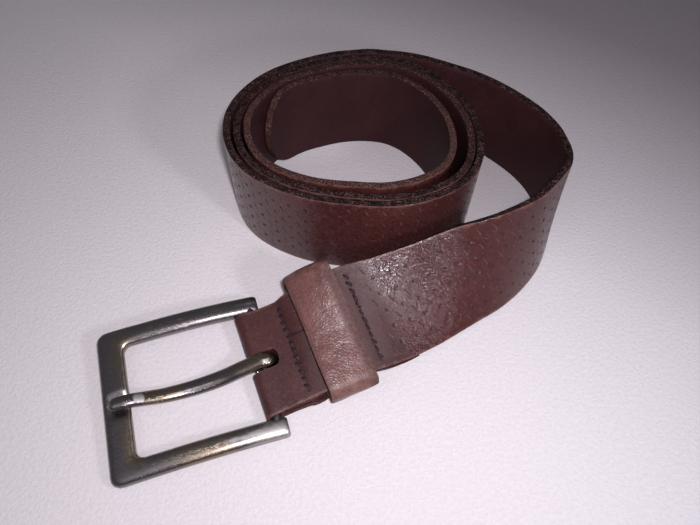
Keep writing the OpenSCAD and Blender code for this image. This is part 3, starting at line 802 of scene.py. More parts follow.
def feed(tree, shader, base, rough, height, distance, strength):
    """Link a colour, a roughness and a bump to the shader."""
    bump = add(tree, "ShaderNodeBump", {"Height": height, "Distance": distance, "Strength": strength})
    for key, value in (("Base Color", base), ("Roughness", rough), ("Normal", bump.outputs[0])):
        tree.links.new(value, shader.inputs[key])


def placed(tree, group_tree, where, **inputs):
    return add(tree, "ShaderNodeGroup", {"Vector": where, **inputs}, node_tree=group_tree).outputs


def grain_leather(name, base, worn, groups, cells=1650.0, creased=0.0, gloss=0.15):
    """Finished outer face of the leather, with pressed marks that stay dull and edges rubbed pale; painted
    shade darkens it in hollows, creases and beside parts, and dirt with painted shade in the stitch grooves.
    """
    tree, shader, where = material(name, {"IOR": 1.47, "Specular IOR Level": 0.5})
    skin = placed(tree, groups["pebble"], where, Cells=cells)
    rub = placed(tree, groups["rub"], where, Mask=attribute(tree, "edge"), Patches=300.0, Amount=0.38)
    pit, press = attribute(tree, "pit"), attribute(tree, "press")
    scuffs = noise(tree, where, 1100.0, 5.0, 0.7)
    shade = layered(
        tree, mixed(tree, skin["Tone"], colour(base, 0.72), colour(base, 1.28)),
        # Painted shade: darkens the grain where the mask is high.
        (times(tree, pit, 0.8), colour(base, 0.3)),
        (times(tree, press, 0.5), colour(worn, 0.8)),
        (times(tree, skin["Creases"], creased), colour(worn)),
        (times(tree, rub["Wear"], 0.75), colour(worn)),
        (times(tree, rub["Scratches"], 0.24), colour(worn, 1.1)),
        (spread(tree, scuffs, 0.56, 0.72, 0.0, 0.5), colour(worn, 0.9)),
        (spread(tree, scuffs, 0.34, 0.46, 0.55, 0.0), colour(base, 0.35)))
    marks = times(tree, math_node(tree, "MAXIMUM", pit, press), 0.35)
    dull = math_node(tree, "MAXIMUM", marks, times(tree, attribute(tree, "dull"), 0.36))
    shine = spread(tree, skin["Tone"], 0.0, 1.0, gloss - 0.05, gloss + 0.12)
    rough = math_node(tree, "ADD", shine, dull, clamp=True)
    height = math_node(tree, "SUBTRACT", skin["Height"], times(tree, skin["Creases"], creased * 1.2))
    feed(tree, shader, shade, rough, height, 0.00008, 0.65)


def flesh_leather(name, base, groups):
    """Inner face of the leather: smooth, dull, with a faint nap."""
    tree, shader, where = material(name, {"IOR": 1.45, "Specular IOR Level": 0.2})
    tone = placed(tree, groups["pebble"], where, Cells=1500.0)["Tone"]
    nap = noise(tree, where, 2400.0, 4.0, 0.7)
    shade = layered(
        tree, mixed(tree, tone, colour(base, 0.72), colour(base, 1.25)),
        (spread(tree, nap, 0.55, 0.75, 0.0, 0.35), colour(base, 2.0)))
    feed(tree, shader, shade, spread(tree, tone, 0.0, 1.0, 0.55, 0.72), nap, 0.00008, 0.5)


def rim_leather(name, base, worn):
    """Cut edge of the leather: dark dye over pale, rough fibres."""
    tree, shader, where = material(name, {"IOR": 1.45, "Specular IOR Level": 0.15})
    depth = add(tree, "ShaderNodeSeparateXYZ", {0: where}).outputs["Y"]
    pale = times(tree, attribute(tree, "pale"), spread(tree, depth, 0.050, 0.075, 1.0, 0.25))
    fibre = noise(tree, where, 1500.0, 4.0, 0.7)
    clumps = noise(tree, where, 380.0, 4.0, 0.6)
    open_to = plus(tree, spread(tree, clumps, 0.40, 0.62, 0.15, 0.85), times(tree, pale, 0.3))
    specks = math_node(tree, "MULTIPLY", spread(tree, fibre, 0.51, 0.60), open_to, clamp=True)
    shade = layered(
        tree, mixed(tree, spread(tree, clumps, 0.35, 0.7), colour(base, 0.45), colour(base, 1.6)),
        (times(tree, pale, 0.45), colour(worn, 0.55)),
        (specks, colour(worn, 1.05)),
        (spread(tree, fibre, 0.38, 0.48, 0.9, 0.0), colour(base, 0.4)))
    feed(tree, shader, shade, spread(tree, fibre, 0.3, 0.7, 0.7, 0.95), fibre, 0.0003, 0.9)


def thread_material(name, base):
    """Waxed thread with its twist, pale fuzz and painted glints."""
    tree, shader, where = material(name, {"IOR": 1.5, "Specular IOR Level": 0.4})
    wave = {"Vector": where, "Scale": 900.0, "Distortion": 3.0, "Detail": 2.0}
    twist = add(tree, "ShaderNodeTexWave", wave, bands_direction="DIAGONAL").outputs["Fac"]
    fuzz_and_glints = noise(tree, where, 2600.0, 3.0)
    shade = layered(
        tree, mixed(tree, twist, colour(base, 0.6), colour(base, 1.5)),
        # Pale fuzz with painted glints.
        (spread(tree, fuzz_and_glints, 0.54, 0.72, 0.0, 0.7), colour(base, 7.0)))
    feed(tree, shader, shade, spread(tree, fuzz_and_glints, 0.3, 0.7, 0.3, 0.6), twist, 0.00016, 0.9)


def worn_metal(name, base, bronze, bright, groups, rough=(0.24, 0.36), blur=0.12):
    """Darkened plating, rubbed bright on its crests and edges, with pits and fine scratches; on the prong the
    wear mask also holds painted highlights.
    """
    tree, shader, where = material(name, {"Metallic": 1.0})
    rub = placed(
        tree, groups["rub"], where, Mask=attribute(tree, "wear"), Patches=420.0, Amount=0.62, Ragged=0.7)
    slow = noise(tree, where, 90.0, 4.0, 0.6)
    specks = noise(tree, where, 1300.0, 4.0, 0.7)
    warm = plus(tree, slow, times(tree, attribute(tree, "warm"), 0.3))
    shade = layered(
        tree, mixed(tree, spread(tree, warm, 0.46, 0.74), colour(base), colour(bronze)),
        (spread(tree, specks, 0.54, 0.70, 0.0, 0.5), colour(base, 0.4)),
        (times(tree, rub["Wear"], 0.8), colour(bright)),
        (times(tree, rub["Scratches"], 0.12), colour(bright, 0.8)))
    shine = plus(tree, spread(tree, specks, 0.3, 0.7, *rough), times(tree, rub["Wear"], blur))
    height = math_node(tree, "SUBTRACT", specks, times(tree, rub["Scratches"], 0.5))
    feed(tree, shader, shade, shine, height, 0.00006, 0.4)


def drawn_steel(name, base, groups):
    """Drawn steel of the heel bar and the staple, dull with handling; its colour is kept dark as painted shade.
    """
    tree, shader, where = material(name, {"Metallic": 1.0})
    rub = placed(tree, groups["rub"], where, Mask=0.4, Patches=600.0, Amount=0.3)
    long = add(tree, "ShaderNodeMapping", {"Vector": where, "Scale": (1, 1, 14)}).outputs[0]
    lines = noise(tree, long, 700.0, 4.0)
    shade = layered(
        tree, mixed(tree, lines, colour(base, 0.6), colour(base, 1.2)),
        (times(tree, rub["Wear"], 0.5), colour(base, 0.4)))
    feed(tree, shader, shade, spread(tree, lines, 0.3, 0.7, 0.3, 0.5), lines, 0.00004, 0.35)


def finishes():
    """Materials of the belt, made once."""
    if "strap_grain" in bpy.data.materials:
        return bpy.data.materials
    scene = bpy.context.scene
    leather, buckle = scene.belt_leather, scene.belt_buckle
    groups = {"pebble": pebble_group(), "rub": rub_group()}
    grain_leather("strap_grain", leather.grain_colour, leather.worn_colour, groups)
    flesh_leather("strap_flesh", leather.flesh_colour, groups)
    rim_leather("strap_rim", leather.edge_colour, leather.worn_colour)
    grain_leather(
        "keeper_grain", leather.keeper_colour, leather.keeper_edge_colour, groups, 1000.0, 0.3, 0.31)
    flesh_leather("keeper_flesh", leather.keeper_colour, groups)
    rim_leather("keeper_rim", leather.worn_colour, leather.keeper_edge_colour)
    thread_material("waxed_thread", scene.belt_stitching.thread_colour)
    colours = (buckle.metal_colour, buckle.bronze_colour, buckle.bright_colour)
    worn_metal("frame_plating", *colours, groups)
    worn_metal("prong_plating", *colours, groups, (0.18, 0.30), 0.36)
    # The steel's dark colour is painted shade where the heel bar shows beside the fold.
    drawn_steel("drawn_steel", (0.16, 0.15, 0.145), groups)
    return bpy.data.materials


def dress(piece, *names):
    for name in names:
        piece.data.materials.append(finishes()[name])


class BELT_OT_strap(Operator):
    """Build the strap: coil, bend and sewn end"""

    bl_idname = "belt.strap"
    bl_label = "Strap"

    def execute(self, context):
        leather = context.scene.belt_leather
        pitch, depth = leather.mark_pitch / MM, leather.mark_depth / MM
        marks_from = STRIP.ring_run
        count = int((STRIP.u_of(MARK_END) - marks_from) / pitch)
        middles = marks_from + (np.arange(count) + 0.5) * pitch
        bend_from, bend_to = (
            middles[np.argmin(np.abs(middles - STRIP.u_hinge - s))] for s in (-BEND_HALF, BEND_HALF))
        marked = np.array(mark_lines(marks_from, pitch, 0, count, DOT, DASH_U))

        grain_sides, flesh_sides = [0.42, 1.0, 1.9, 3.2], [0.3, 3, 8, 12.5]
        grain_v = mark_lines(MID, pitch, -MARK_ROWS, MARK_ROWS, DOT, DASH_V)
        grain_v = sorted(grain_v + grain_sides + [STRAP_W - v for v in grain_sides])
        inner_v = [v for v in grain_v if abs(v - MID) < 4.5]
        flesh_v = sorted(flesh_sides + inner_v + [STRAP_W - v for v in flesh_sides])
        loop = strap_loop(grain_v, flesh_v)
        slot_v = [SLOT_AT - SLOT_W / 2, SLOT_AT + SLOT_W / 2]
        slot_turns = [math.radians(a) for a in (-90, -72, -54, -36, 36, 54, 72, 90)]
        round_v = [SLOT_AT + SLOT_W / 2 * math.sin(a) for a in slot_turns]
        end_loop = strap_loop(sorted(grain_v + round_v), sorted(flesh_v + round_v))

        holes = FIRST_HOLE + HOLE_PITCH * np.arange(HOLE_COUNT)
        tip = TIP_LEN * (1 - np.cos(np.linspace(0.1, math.pi / 2, 12)))
        plain = np.arange(TIP_LEN + PLAIN_STEP, marks_from - 1.5, PLAIN_STEP)
        beside = np.concatenate([holes + s for s in (-HOLE_BOX, -1, 1, HOLE_BOX)])
        plain = clear_of(plain, holes, HOLE_BOX + 0.6)
        lines = np.sort(np.concatenate([tip, plain, beside, marked]))
        coil_lines = np.append(lines[lines < bend_from], bend_from)
        on_bend = lines[(lines > bend_from) & (lines < bend_to)]
        bend_lines = np.concatenate([[bend_from], on_bend, [bend_to]])

        offsets = np.array([-1.0, -0.5, 0, 0.5, 1.0])
        stitched = np.concatenate([d + offsets for d in (FRONT_ROW, REAR_ROW)])
        arm_d = clear_of(np.arange(FOLD_LEN, REAR_ROW + 2, SEWN_STEP), stitched, 0.8)
        arm_u = STRIP.u_of(np.concatenate([arm_d, stitched]))
        around_bar = STRIP.fold_u
        top_x, low_x = [-SLOT_REACH - 0.7, -SLOT_REACH + SLOT_END], [SLOT_LOW - SLOT_END, SLOT_LOW + 0.7]
        top_u = np.interp(top_x, -STRIP.fold_x[:8], STRIP.fold_u[:8])
        low_u = np.interp(low_x, STRIP.fold_x[-7:], STRIP.fold_u[-7:])
        around_bar = around_bar[(around_bar > top_u[1] + 0.3) & (around_bar < low_u[0] - 0.3)]
        tail_d = clear_of(np.arange(FOLD_LEN, TAIL_LEN, SEWN_STEP), stitched, 0.8)
        tail_u = STRIP.tail_u_of(np.concatenate([tail_d, stitched, [TAIL_LEN]]))
        end_marked = marked[(marked > bend_to) & (marked < STRIP.u_of(REAR_ROW + 2.2))]
        end_lines = np.sort(np.concatenate([[bend_to], end_marked, arm_u, top_u, around_bar, low_u, tail_u]))
        end_lines = end_lines[np.concatenate([[True], np.diff(end_lines) > 0.05])]
        slot = [int(np.argmin(np.abs(end_lines - u))) for u in (top_u[1], low_u[0])]

        coil = strap_mesh("strap_coil_leather", coil_lines, loop, marks_from, pitch, depth, holes, seed=11)
        bend = strap_mesh("strap_bend_leather", bend_lines, loop, marks_from, pitch, depth, seed=12)
        end = strap_mesh(
            "strap_end_leather", end_lines, end_loop, marks_from, pitch, depth, slot=(*slot, *slot_v), seed=13)
        for piece in (coil, bend, end):
            dress(piece, "strap_grain", "strap_flesh", "strap_rim")
        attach(coil, "coil")
        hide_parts("strap_coil")
        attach(end, "arm")
        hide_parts("strap_arm", "strap_fold", "strap_tail")
        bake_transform(bend)
        return {"FINISHED"}


class BELT_OT_keeper(Operator):
    """Build the keeper: a creased leather band round the folded end"""

    bl_idname = "belt.keeper"
    bl_label = "Keeper"

    def execute(self, context):
        half, low, high = KEEPER_HALF + KEEPER_T / 2, KEEPER_LOW - KEEPER_T / 2, KEEPER_HIGH + KEEPER_T / 2
        r = KEEPER_CORNER + KEEPER_T / 2
        path = [[x, low] for x in np.linspace(KEEPER_SEAM, half - r, 14, endpoint=False)]
        corners = [
            (half - r, low + r, -90), (half - r, high - r, 0),
            (r - half, high - r, 90), (r - half, low + r, 180),
        ]
        for number, (x, z, start) in enumerate(corners):
            arc = np.radians(np.linspace(start, start + 90, 9))
            path += np.column_stack([x + r * np.cos(arc), z + r * np.sin(arc)]).tolist()
            if number == 1:
                path += [[a, high] for a in np.linspace(half - r, r - half, 100)[1:-1]]
        path += [[x, low] for x in np.linspace(r - half, -KEEPER_SEAM, 15)[1:]]
        path = np.array(path)
        travel = unit(np.gradient(path, axis=0))
        normal = np.column_stack([travel[:, 1], -travel[:, 0]])
        s = runs(path)

        qs = KEEPER_LEN / 2
        outer = np.linspace(-qs + 0.45, qs - 0.45, 41)
        inner = np.linspace(qs - 0.3, -qs + 0.3, 7)
        loop = [(q, 1.1, GRAIN) for q in outer]
        loop += [(qs - 0.14, 0.98, GRAIN), (qs, 0.55, RIM), (qs, -0.6, RIM), (qs - 0.1, -0.98, RIM)]
        loop += [(q, -1.1, FLESH) for q in inner]
        loop += [(-qs + 0.1, -0.98, RIM), (-qs, -0.6, RIM), (-qs, 0.55, RIM), (-qs + 0.14, 0.98, GRAIN)]
        loop = np.array(loop)
        n, m = len(path), len(loop)
        q = np.repeat(loop[None, :, 0], n, axis=0)
        ss = np.repeat(s[:, None], m, axis=1)
        rng = np.random.RandomState(5)
        kind = loop[:, 2].astype(int)
        outside = kind == GRAIN
        top = np.repeat((path[:, 1] > high - 1.5)[:, None], m, axis=1)
        crease = ripple(ss, q * 0.55, 21, 9, 0.25, 1.5)
        fine = 0.025 * ripple(ss, q, 22, 8, 1.0, 2.6)
        deep = creases(ss - s[-1] / 2, q, 25, 30, half, qs) * outside
        lift = 0.08 * np.tanh(1.4 * crease) + fine + 0.03 * ripple(ss, q, 24, 12, 3.0, 6.0) - 0.1 * deep
        crown = 0.12 - 0.3 * (np.abs(loop[:, 0]) / qs) ** 6
        thick = loop[:, 1] + np.where(outside, lift + crown, 0)
        wave = KEEPER_WAVE * ripple(ss, q * 0.0, 23, 5, 0.08, 0.3)
        q = q + wave * (np.abs(q) > qs - 1) + rng.normal(0, 0.03, (n, m)) * (kind == RIM)
        over = np.clip((path[:, 0] + half) / (2 * half), 0, 1)
        sag = KEEPER_SAG * np.sin(over * math.pi * 3 + 0.6) * (path[:, 1] > high - 0.6)
        a = path[:, 0, None] + normal[:, 0, None] * thick
        b = path[:, 1, None] + normal[:, 1, None] * thick
        b = b + sag[:, None] * ease((qs + q) / (2 * qs) * 0.6 + 0.4)
        rows = STRIP.arm_at((KEEPER_AT + q).ravel())
        points = rows[:, :3] + (MID + a.ravel())[:, None] * rows[:, 3:6] + b.ravel()[:, None] * rows[:, 6:9]
        # Painted shade along the keeper's rear and front edges, where it curves down, and in its creases; the
        # grain darkens with it.
        rear_painted_shade = 0.85 * ease((loop[:, 0] - qs + 4.6) / 2.8)
        front_painted_shade = 0.4 * ease((2.4 - qs - loop[:, 0]) / 1.6)
        pit = np.maximum(0.5 * deep, np.maximum(rear_painted_shade, front_painted_shade) * outside)
        edge = np.clip((np.abs(loop[:, 0]) - qs + 0.6) / 0.5, 0, 1) * outside
        bends = np.exp(-((path[:, 1] - high) ** 2) / 6) * np.exp(-((np.abs(path[:, 0]) - half + 1.6) ** 2) / 8)
        edge = np.maximum(edge[None, :], 0.5 * bends[:, None] * outside)
        edge = edge + np.clip(-crease, 0, 1) * 0.25 * outside * top
        marks = {"edge": edge[::-1].ravel(), "pit": pit[::-1].ravel()}
        piece = loft("keeper_band", points.reshape(n, m, 3)[::-1], marks, MATERIAL_OF_KIND[face_kinds(kind)])
        dress(piece, "keeper_grain", "keeper_flesh", "keeper_rim")
        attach(piece, "keeper")
        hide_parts("keeper_loop")
        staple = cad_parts["keeper_staple"]
        staple.data.materials.clear()
        dress(staple, "drawn_steel")
        return {"FINISHED"}


def stitch_tree():
    """Geometry nodes: one stitch on each point, laid on the leather and along its row."""
    tree = bpy.data.node_groups.new("row stitches", "GeometryNodeTree")
    face = tree.interface
    face.new_socket("Geometry", in_out="INPUT", socket_type="NodeSocketGeometry")
    for key, value in (("Length", 0.0023), ("Thread radius", 0.0004), ("Slant", 0.2)):
        face.new_socket(key, in_out="INPUT", socket_type="NodeSocketFloat").default_value = value
    face.new_socket("Seed", in_out="INPUT", socket_type="NodeSocketInt").default_value = 3
    face.new_socket("Material", in_out="INPUT", socket_type="NodeSocketMaterial")
    face.new_socket("Geometry", in_out="OUTPUT", socket_type="NodeSocketGeometry")
    get = add(tree, "NodeGroupInput").outputs

    def share(key, factor):
        return times(tree, get[key], factor)

    def corner(x, z):
        return add(tree, "ShaderNodeCombineXYZ", {"X": x, "Z": z}).outputs[0]

    def vector(name):
        return add(tree, "GeometryNodeInputNamedAttribute", {"Name": name}, data_type="FLOAT_VECTOR").outputs[0]

    def chance(low, high, seed):
        inputs = {2: low, 3: high, "Seed": seed}
        return add(tree, "FunctionNodeRandomValue", inputs, data_type="FLOAT").outputs[1]

    sunk, proud = share("Thread radius", -1.0), share("Thread radius", 0.8)
    arc = add(tree, "GeometryNodeCurvePrimitiveBezierSegment", {
        "Resolution": 7,
        "Start": corner(share("Length", -0.5), sunk), "Start Handle": corner(share("Length", -0.375), proud),
        "End Handle": corner(share("Length", 0.375), proud), "End": corner(share("Length", 0.5), sunk)})
    ring = add(tree, "GeometryNodeCurvePrimitiveCircle", {"Resolution": 8, "Radius": get["Thread radius"]})
    stitch = add(
        tree, "GeometryNodeCurveToMesh",
        {"Curve": arc.outputs[0], "Profile Curve": ring.outputs[0], "Fill Caps": True})
    upright = add(tree, "FunctionNodeAlignRotationToVector", {"Vector": vector("out")}, axis="Z")
    along = add(
        tree, "FunctionNodeAlignRotationToVector", {"Rotation": upright.outputs[0], "Vector": vector("along")},
        axis="X", pivot_axis="Z")
    lean = times(tree, get["Slant"], chance(0.2, 2.0, get["Seed"]))
    turn = add(
        tree, "FunctionNodeEulerToRotation", {0: add(tree, "ShaderNodeCombineXYZ", {"Z": lean}).outputs[0]})
    turned = add(
        tree, "FunctionNodeRotateRotation", {"Rotation": along.outputs[0], "Rotate By": turn.outputs[0]},
        rotation_space="LOCAL")
    pull = chance(0.74, 1.12, plus(tree, get["Seed"], 8.0))
    rows = add(tree, "GeometryNodeInstanceOnPoints", {
        "Points": get["Geometry"], "Instance": stitch.outputs[0], "Rotation": turned.outputs[0], "Scale": pull})
    real = add(tree, "GeometryNodeRealizeInstances", {"Geometry": rows.outputs[0]})
    smooth = add(tree, "GeometryNodeSetShadeSmooth", {0: real.outputs[0]})
    done = add(tree, "GeometryNodeSetMaterial", {"Geometry": smooth.outputs[0], "Material": get["Material"]})
    tree.links.new(done.outputs[0], add(tree, "NodeGroupOutput").inputs["Geometry"])
    return tree


def grown(piece, tree, values):
    """The piece with a geometry node tree applied as a plain mesh."""
    modifier = piece.modifiers.new(tree.name, "NODES")
    modifier.node_group = tree
    for socket in tree.interface.items_tree:
        if socket.in_out == "INPUT" and socket.name in values:
            modifier[socket.identifier] = values[socket.name]
    bpy.context.view_layer.update()
    graph = bpy.context.evaluated_depsgraph_get()
    mesh = bpy.data.meshes.new_from_object(piece.evaluated_get(graph), depsgraph=graph)
    mesh.name = piece.name
    piece.modifiers.clear()
    piece.data = mesh
    return piece


class BELT_OT_stitching(Operator):
    """Sew the folded end: two rows of stitches on both faces and a loose thread end"""

    bl_idname = "belt.stitching"
    bl_label = "Stitching"

    def execute(self, context):
        sewing = context.scene.belt_stitching
        radius = sewing.thread_radius / MM
        points, outs, alongs = [], [], []
        for d in (FRONT_ROW, REAR_ROW):
            v = MID + sewing.pitch / MM * (np.arange(sewing.count) - (sewing.count - 1) / 2)
            row = STRIP.arm_at(np.full(sewing.count, d))
            under = -HALF_T - layer_gap(d) - tail_thickness(d)
            for g, side in ((HALF_T - STITCH_SUNK, 1), (under + STITCH_SUNK, -1)):
                points.append(row[:, :3] + v[:, None] * row[:, 3:6] + g * row[:, 6:9])
                outs.append(side * row[:, 6:9])
                alongs.append(row[:, 3:6])
        mesh = bpy.data.meshes.new("sewn_rows")
        mesh.from_pydata((np.vstack(points) * MM).tolist(), [], [])
        for key, values in (("out", outs), ("along", alongs)):
            mesh.attributes.new(key, "FLOAT_VECTOR", "POINT").data.foreach_set(
                "vector", np.vstack(values).astype(np.float32).ravel())
        piece = bpy.data.objects.new("sewn_rows", mesh)
        context.scene.collection.objects.link(piece)
        grown(piece, stitch_tree(), {
            "Length": sewing.pitch * 0.84, "Thread radius": sewing.thread_radius, "Slant": sewing.slant,
            "Seed": 3, "Material": finishes()["waxed_thread"]})
        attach(piece, "arm")
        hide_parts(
            "front_needle_thread", "front_bobbin_thread", "rear_needle_thread", "rear_bobbin_thread")

        line = []
        for d, v, g in curve_points(LOOSE_ROUTE, 5):
            row = STRIP.arm_at([d])[0]
            line.append(row[:3] + v * row[3:6] + (g + 0.1) * row[6:9])
        line = np.array(line)
        travel = unit(np.gradient(line, axis=0))
        side = unit(np.cross(travel, [0.0, 0.0, 1.0]))
        up = np.cross(side, travel)
        turns = np.linspace(0, math.tau, 8, endpoint=False)[None, :, None]
        r = 0.55 * radius * np.linspace(1, 0.7, len(line))[:, None, None]
        rings = line[:, None] + r * (np.cos(turns) * side[:, None] + np.sin(turns) * up[:, None])
        loose = loft("loose_thread", rings[:, ::-1], {})
        dress(loose, "waxed_thread")
        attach(loose, "arm")
        return {"FINISHED"}


def arch_at(x):
    return FRAME_ARCH - (x - ARCH_MID) ** 2 / (2 * ARCH_R)


def seated(rings):
    """Rings of points of the buckle, moved to where it lies."""
    rings = np.array(rings)
    return moved(buckle_matrix(BAR_TURN, FRAME_TIP), rings.reshape(-1, 3)).reshape(rings.shape)


# Rings near the end of an arm: distance from the end
END_STEPS = np.array([0, 0.1, 0.3, 0.65, 1.1, 1.7, 2.4])
END_ROUND = 1.9


def frame_pairs():
    """Outer and inner outline of the frame in pairs, from the far arm's end round to the near one's."""
    half, window, inner_x = FRAME_W / 2, WINDOW_W / 2, FRONT_X + FRONT_W
    xs = np.concatenate([ARM_END - END_STEPS, np.linspace(ARM_END - 3.2, inner_x + WINDOW_CORNER, 40)])
    outer = [[x, half] for x in xs]
    inner = [[x, window] for x in xs]
    r = WINDOW_CORNER
    arc = np.linspace(0, math.pi / 2, 15)
    corner = [[inner_x + r - r * math.sin(a), window - r * (1 - math.cos(a))] for a in arc]
    r = FRAME_CORNER
    arc = np.linspace(0, math.pi / 2, 13)
    round_out = [[FRONT_X + r * (1 - math.sin(a)), half - r * (1 - math.cos(a))] for a in arc]
    path = np.array([[xs[-1], half], *round_out, [FRONT_X, corner[-1][1]]])
    far = runs(path)
    where = np.interp(np.linspace(0, 1, 15), [0, 0.5, 1], [0, far[7], far[-1]])
    outer += [[np.interp(w, far, path[:, 0]), np.interp(w, far, path[:, 1])] for w in where[1:]]
    inner += corner[1:]
    ys = np.linspace(corner[-1][1], 0, 22)[1:]
    outer += [[FRONT_X, y] for y in ys]
    inner += [[inner_x, y] for y in ys]
    outer, inner = np.array(outer), np.array(inner)
    flip = np.array([1, -1])
    return np.vstack([outer, outer[-2::-1] * flip]), np.vstack([inner, inner[-2::-1] * flip])


class BELT_OT_buckle(Operator):
    """Build the buckle: arched frame, prong and heel bar"""

    bl_idname = "belt.buckle"
    bl_label = "Buckle"

    def execute(self, context):
        self.frame_piece()
        self.prong_piece()
        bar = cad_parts["heel_bar"]
        bar.data.materials.clear()
        dress(bar, "drawn_steel")
        return {"FINISHED"}

    def frame_piece(self):
        outer, inner = frame_pairs()
        n = len(outer)
        angles = np.linspace(0, math.tau, 28, endpoint=False)
        front = ease((FRONT_FROM - (outer[:, 0] + inner[:, 0]) / 2) / FRONT_BLEND)
        rings, wear, warm = [], [], []
        for i in range(n):
            across, up = superellipse(angles, ARM_POWER + FRONT_MORE * front[i])
            low_across, low_up = superellipse(angles, UNDER_POWER)
            across, up = np.where(up >= 0, across, low_across), np.where(up >= 0, up, low_up)
            from_end = min(i, n - 1 - i)
            inset = 1 - min(END_STEPS[min(from_end, len(END_STEPS) - 1)] / END_ROUND, 1)
            size = 1 - END_SHRINK * (1 - math.sqrt(1 - inset**2))
            plan = (outer[i] + inner[i]) / 2 + (outer[i] - inner[i]) / 2 * (across * size)[:, None]
            z = arch_at(plan[:, 0]) + up * FRAME_T / 2 * size
            dip = ease((SEAT_HALF - np.abs(plan[:, 1] - PRONG_SET)) / SEAT_SLOPE)
            dip = dip * ease((0.9 - across) / 0.9) * front[i]
            z = np.where(up > 0, z - SEAT_DEPTH * dip * np.minimum(1, up * 1.5), z)
            rings.append(np.column_stack([plan, z]))
            rim = (bell(across, -0.86, 0.09) + 0.5 * bell(across, 0.9, 0.07)) * (up > 0)
            crest = bell(across, 0.05, 0.2) * (up > 0) * (1 - front[i])
            end = math.exp(-from_end / 5)
            near = ease((-plan[:, 1] - 15) / 10) * ease((plan[:, 0] + 26) / 26) * (up > 0)
            middle = bell(plan[:, 0], -24, 11) * (plan[:, 1] < -15)
            warm.append(np.maximum(middle, 0.8 * front[i] * ease(-across * 1.2)))
            wear.append(np.clip(0.85 * rim + 0.55 * crest + 0.55 * end + 0.7 * near * (1 - front[i]), 0, 1))
        piece = loft("buckle_frame_cast", seated(rings), {"wear": np.ravel(wear), "warm": np.ravel(warm)})
        dress(piece, "frame_plating")
        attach(piece, "buckle")
        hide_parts("buckle_frame")

    def prong_piece(self):
        turns = np.arange(-165, 91, 15)
        thick = np.interp(turns, *LOOP_THICK)
        middle = BAR_R + LOOP_PLAY + thick / 2
        curl = np.column_stack([middle * np.cos(np.radians(turns)), middle * np.sin(np.radians(turns))])
        start = 2 * curl[0] - curl[1]
        line = curve_points([start, *curl, *PRONG_LINE, PRONG_END], 5)
        s = runs(line)
        x = line[:, 0]
        on_tongue = s >= s[5 * (len(curl) - 1)]
        out = np.where(on_tongue, -x, 0)
        steps, curl_steps = np.arange(len(line)), 5 * np.arange(len(curl))
        wide = np.interp(out, *PRONG_WIDE) * np.interp(steps, curl_steps, np.interp(turns, *LOOP_WAIST))
        tall = np.where(on_tongue, np.interp(out, *PRONG_TALL), np.interp(steps, curl_steps, thick))
        left = s[-1] - s
        size = np.sqrt(np.clip(1 - np.clip(1 - left / TIP_ROUND, 0, 1) ** 2, 0.02, 1))
        size *= np.sqrt(np.clip(1 - np.clip(1 - s / CURL_ROUND, 0, 1) ** 2, 0.05, 1))
        travel = unit(np.gradient(line, axis=0))
        normal = np.column_stack([travel[:, 1], -travel[:, 0]])
        angles = np.linspace(0, math.tau, 24, endpoint=False)
        rings, wear = [], []
        warm = np.maximum(bell(out, 3, 6), bell(out, 37, 6))
        for i in range(len(line)):
            across, up = superellipse(angles, 2.2 if on_tongue[i] else 2.1)
            y = across * wide[i] / 2 * size[i] + PRONG_SET * out[i] / PRONG_LEN
            lift = up * tall[i] / 2 * size[i]
            rings.append(np.column_stack([x[i] + normal[i, 0] * lift, y, line[i, 1] + normal[i, 1] * lift]))
            crest = np.clip(up, 0, 1)
            band = math.exp(-(((out[i] - RUBBED_AT) / 1.9) ** 4)) + 0.7 * bell(out[i], PRONG_LEN, 2.4)
            # Painted highlights in the wear mask: a streak along the tongue's crest and a glint on the loop's
            # knuckle.
            painted_highlight_streak = bell(across, -0.3, 0.2) * (ease((out[i] - 9) / 9) - ease((out[i] - 38) / 3))
            painted_knuckle_glint = bell(x[i], 1, 2) * (out[i] < 3) * bell(across, -0.3, 0.3)
            wear.append(np.clip(crest**2 * band + crest * (0.66 * painted_highlight_streak + 0.9 * painted_knuckle_glint), 0, 1))
        marks = {"wear": np.array(wear)[:, ::-1].ravel(), "warm": np.repeat(warm, len(angles))}
        piece = loft("prong_bar", seated(rings)[:, ::-1], marks)
        dress(piece, "prong_plating")
        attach(piece, "prong")
        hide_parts("prong")


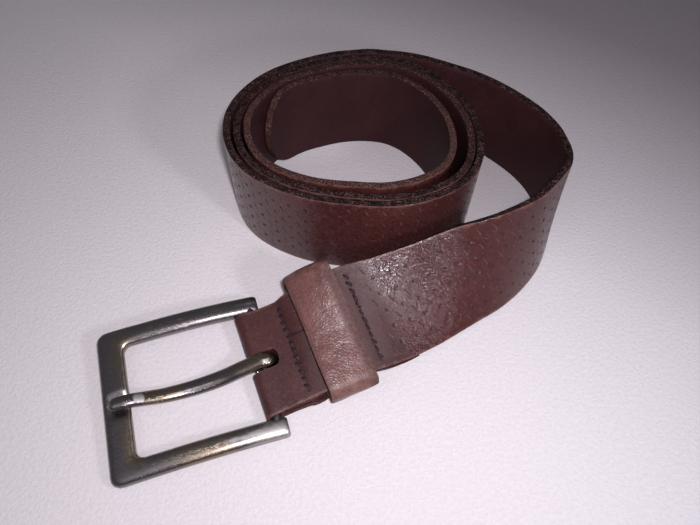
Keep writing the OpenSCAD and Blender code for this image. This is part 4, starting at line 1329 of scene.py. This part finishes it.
class BELT_OT_stage(Operator):
    """Set the floor, the lights and the camera"""

    bl_idname = "belt.stage"
    bl_label = "Stage"

    def execute(self, context):
        scene, stage = context.scene, context.scene.belt_stage
        scene.view_settings.view_transform = "Standard"
        mesh = bpy.data.meshes.new("cloth_floor")
        corners = [(FLOOR_HALF * x, FLOOR_HALF * y, 0) for x, y in ((-1, -1), (1, -1), (1, 1), (-1, 1))]
        mesh.from_pydata(corners, [], [(0, 1, 2, 3)])
        floor = bpy.data.objects.new("cloth_floor", mesh)
        scene.collection.objects.link(floor)
        tree, shader, where = material("pale_cloth", {"Specular IOR Level": 0.1})
        pale = stage.floor_colour
        nap = noise(tree, where, 700.0, 5.0, 0.7)
        soft = noise(tree, where, 14.0, 3.0)
        # Painted shade: the cloth is coloured darker towards its far side.
        far = add(tree, "ShaderNodeVectorMath", {0: where, 1: PAINTED_SHADE_WAY}, operation="DOT_PRODUCT")
        shade = layered(
            tree, mixed(tree, spread(tree, nap, 0.3, 0.7), colour(pale, 0.94), colour(pale, 1.05)),
            (spread(tree, soft, 0.35, 0.65, 0.0, 0.12), colour(pale, 0.9)),
            (spread(tree, far.outputs["Value"], 0.05, 0.22, 0.0, 0.9), colour(stage.far_painted_shade_colour)))
        feed(tree, shader, shade, spread(tree, nap, 0.3, 0.7, 0.85, 1.0), nap, 0.0007, 0.7)
        mesh.materials.append(bpy.data.materials["pale_cloth"])

        camera_data = bpy.data.cameras.new("camera")
        camera_data.sensor_width, camera_data.lens, camera_data.clip_start = SENSOR, LENS, CLIP_START
        camera = bpy.data.objects.new("camera", camera_data)
        camera.location = Vector(CAMERA_AT) * MM
        camera.rotation_euler = Euler([math.radians(a) for a in CAMERA_TURN])
        scene.collection.objects.link(camera)
        scene.camera = camera

        for name, place, target, size, tint in LAMPS:
            self.lamp(scene, name, place, target, size, getattr(stage, name + "_power"), tint)
        world = bpy.data.worlds.new("soft_room")
        scene.world = world
        world.use_nodes = True
        light = world.node_tree.nodes["Background"]
        light.inputs["Color"].default_value = (0.93, 0.93, 1.0, 1)
        light.inputs["Strength"].default_value = stage.fill_strength
        return {"FINISHED"}

    @staticmethod
    def lamp(scene, name, place, target, size, power, tint):
        data = bpy.data.lights.new(name, "AREA")
        data.shape = "DISK"
        data.size = size
        data.spread = LAMP_SPREAD
        data.energy = power
        data.color = tint
        lamp = bpy.data.objects.new(name, data)
        lamp.location = place
        lamp.rotation_euler = (Vector(target) - Vector(place)).to_track_quat("-Z", "Y").to_euler()
        scene.collection.objects.link(lamp)


STEPS = (BELT_OT_strap, BELT_OT_keeper, BELT_OT_stitching, BELT_OT_buckle, BELT_OT_stage)


class BELT_PT_panel(Panel):
    """Steps that build the belt, and the values they use"""

    bl_idname = "BELT_PT_panel"
    bl_label = "Leather waist belt"
    bl_space_type = "VIEW_3D"
    bl_region_type = "UI"
    bl_category = "Belt"

    def draw(self, context):
        for step in STEPS:
            self.layout.operator(step.bl_idname)
        for name in SETTINGS:
            values = getattr(context.scene, name)
            box = self.layout.box()
            for key in values.__annotations__:
                box.prop(values, key)


SETTINGS = {
    "belt_leather": BeltLeather, "belt_stitching": BeltStitching,
    "belt_buckle": BeltBuckle, "belt_stage": BeltStage,
}
CLASSES = (*SETTINGS.values(), *STEPS, BELT_PT_panel)


def register():
    for made in CLASSES:
        bpy.utils.register_class(made)
    for name, made in SETTINGS.items():
        setattr(bpy.types.Scene, name, PointerProperty(type=made))


def unregister():
    for name in SETTINGS:
        delattr(bpy.types.Scene, name)
    for made in reversed(CLASSES):
        bpy.utils.unregister_class(made)


def main():
    register()
    bpy.ops.belt.strap()
    bpy.ops.belt.keeper()
    bpy.ops.belt.stitching()
    bpy.ops.belt.buckle()
    bpy.ops.belt.stage()


if __name__ == "__main__":
    main()
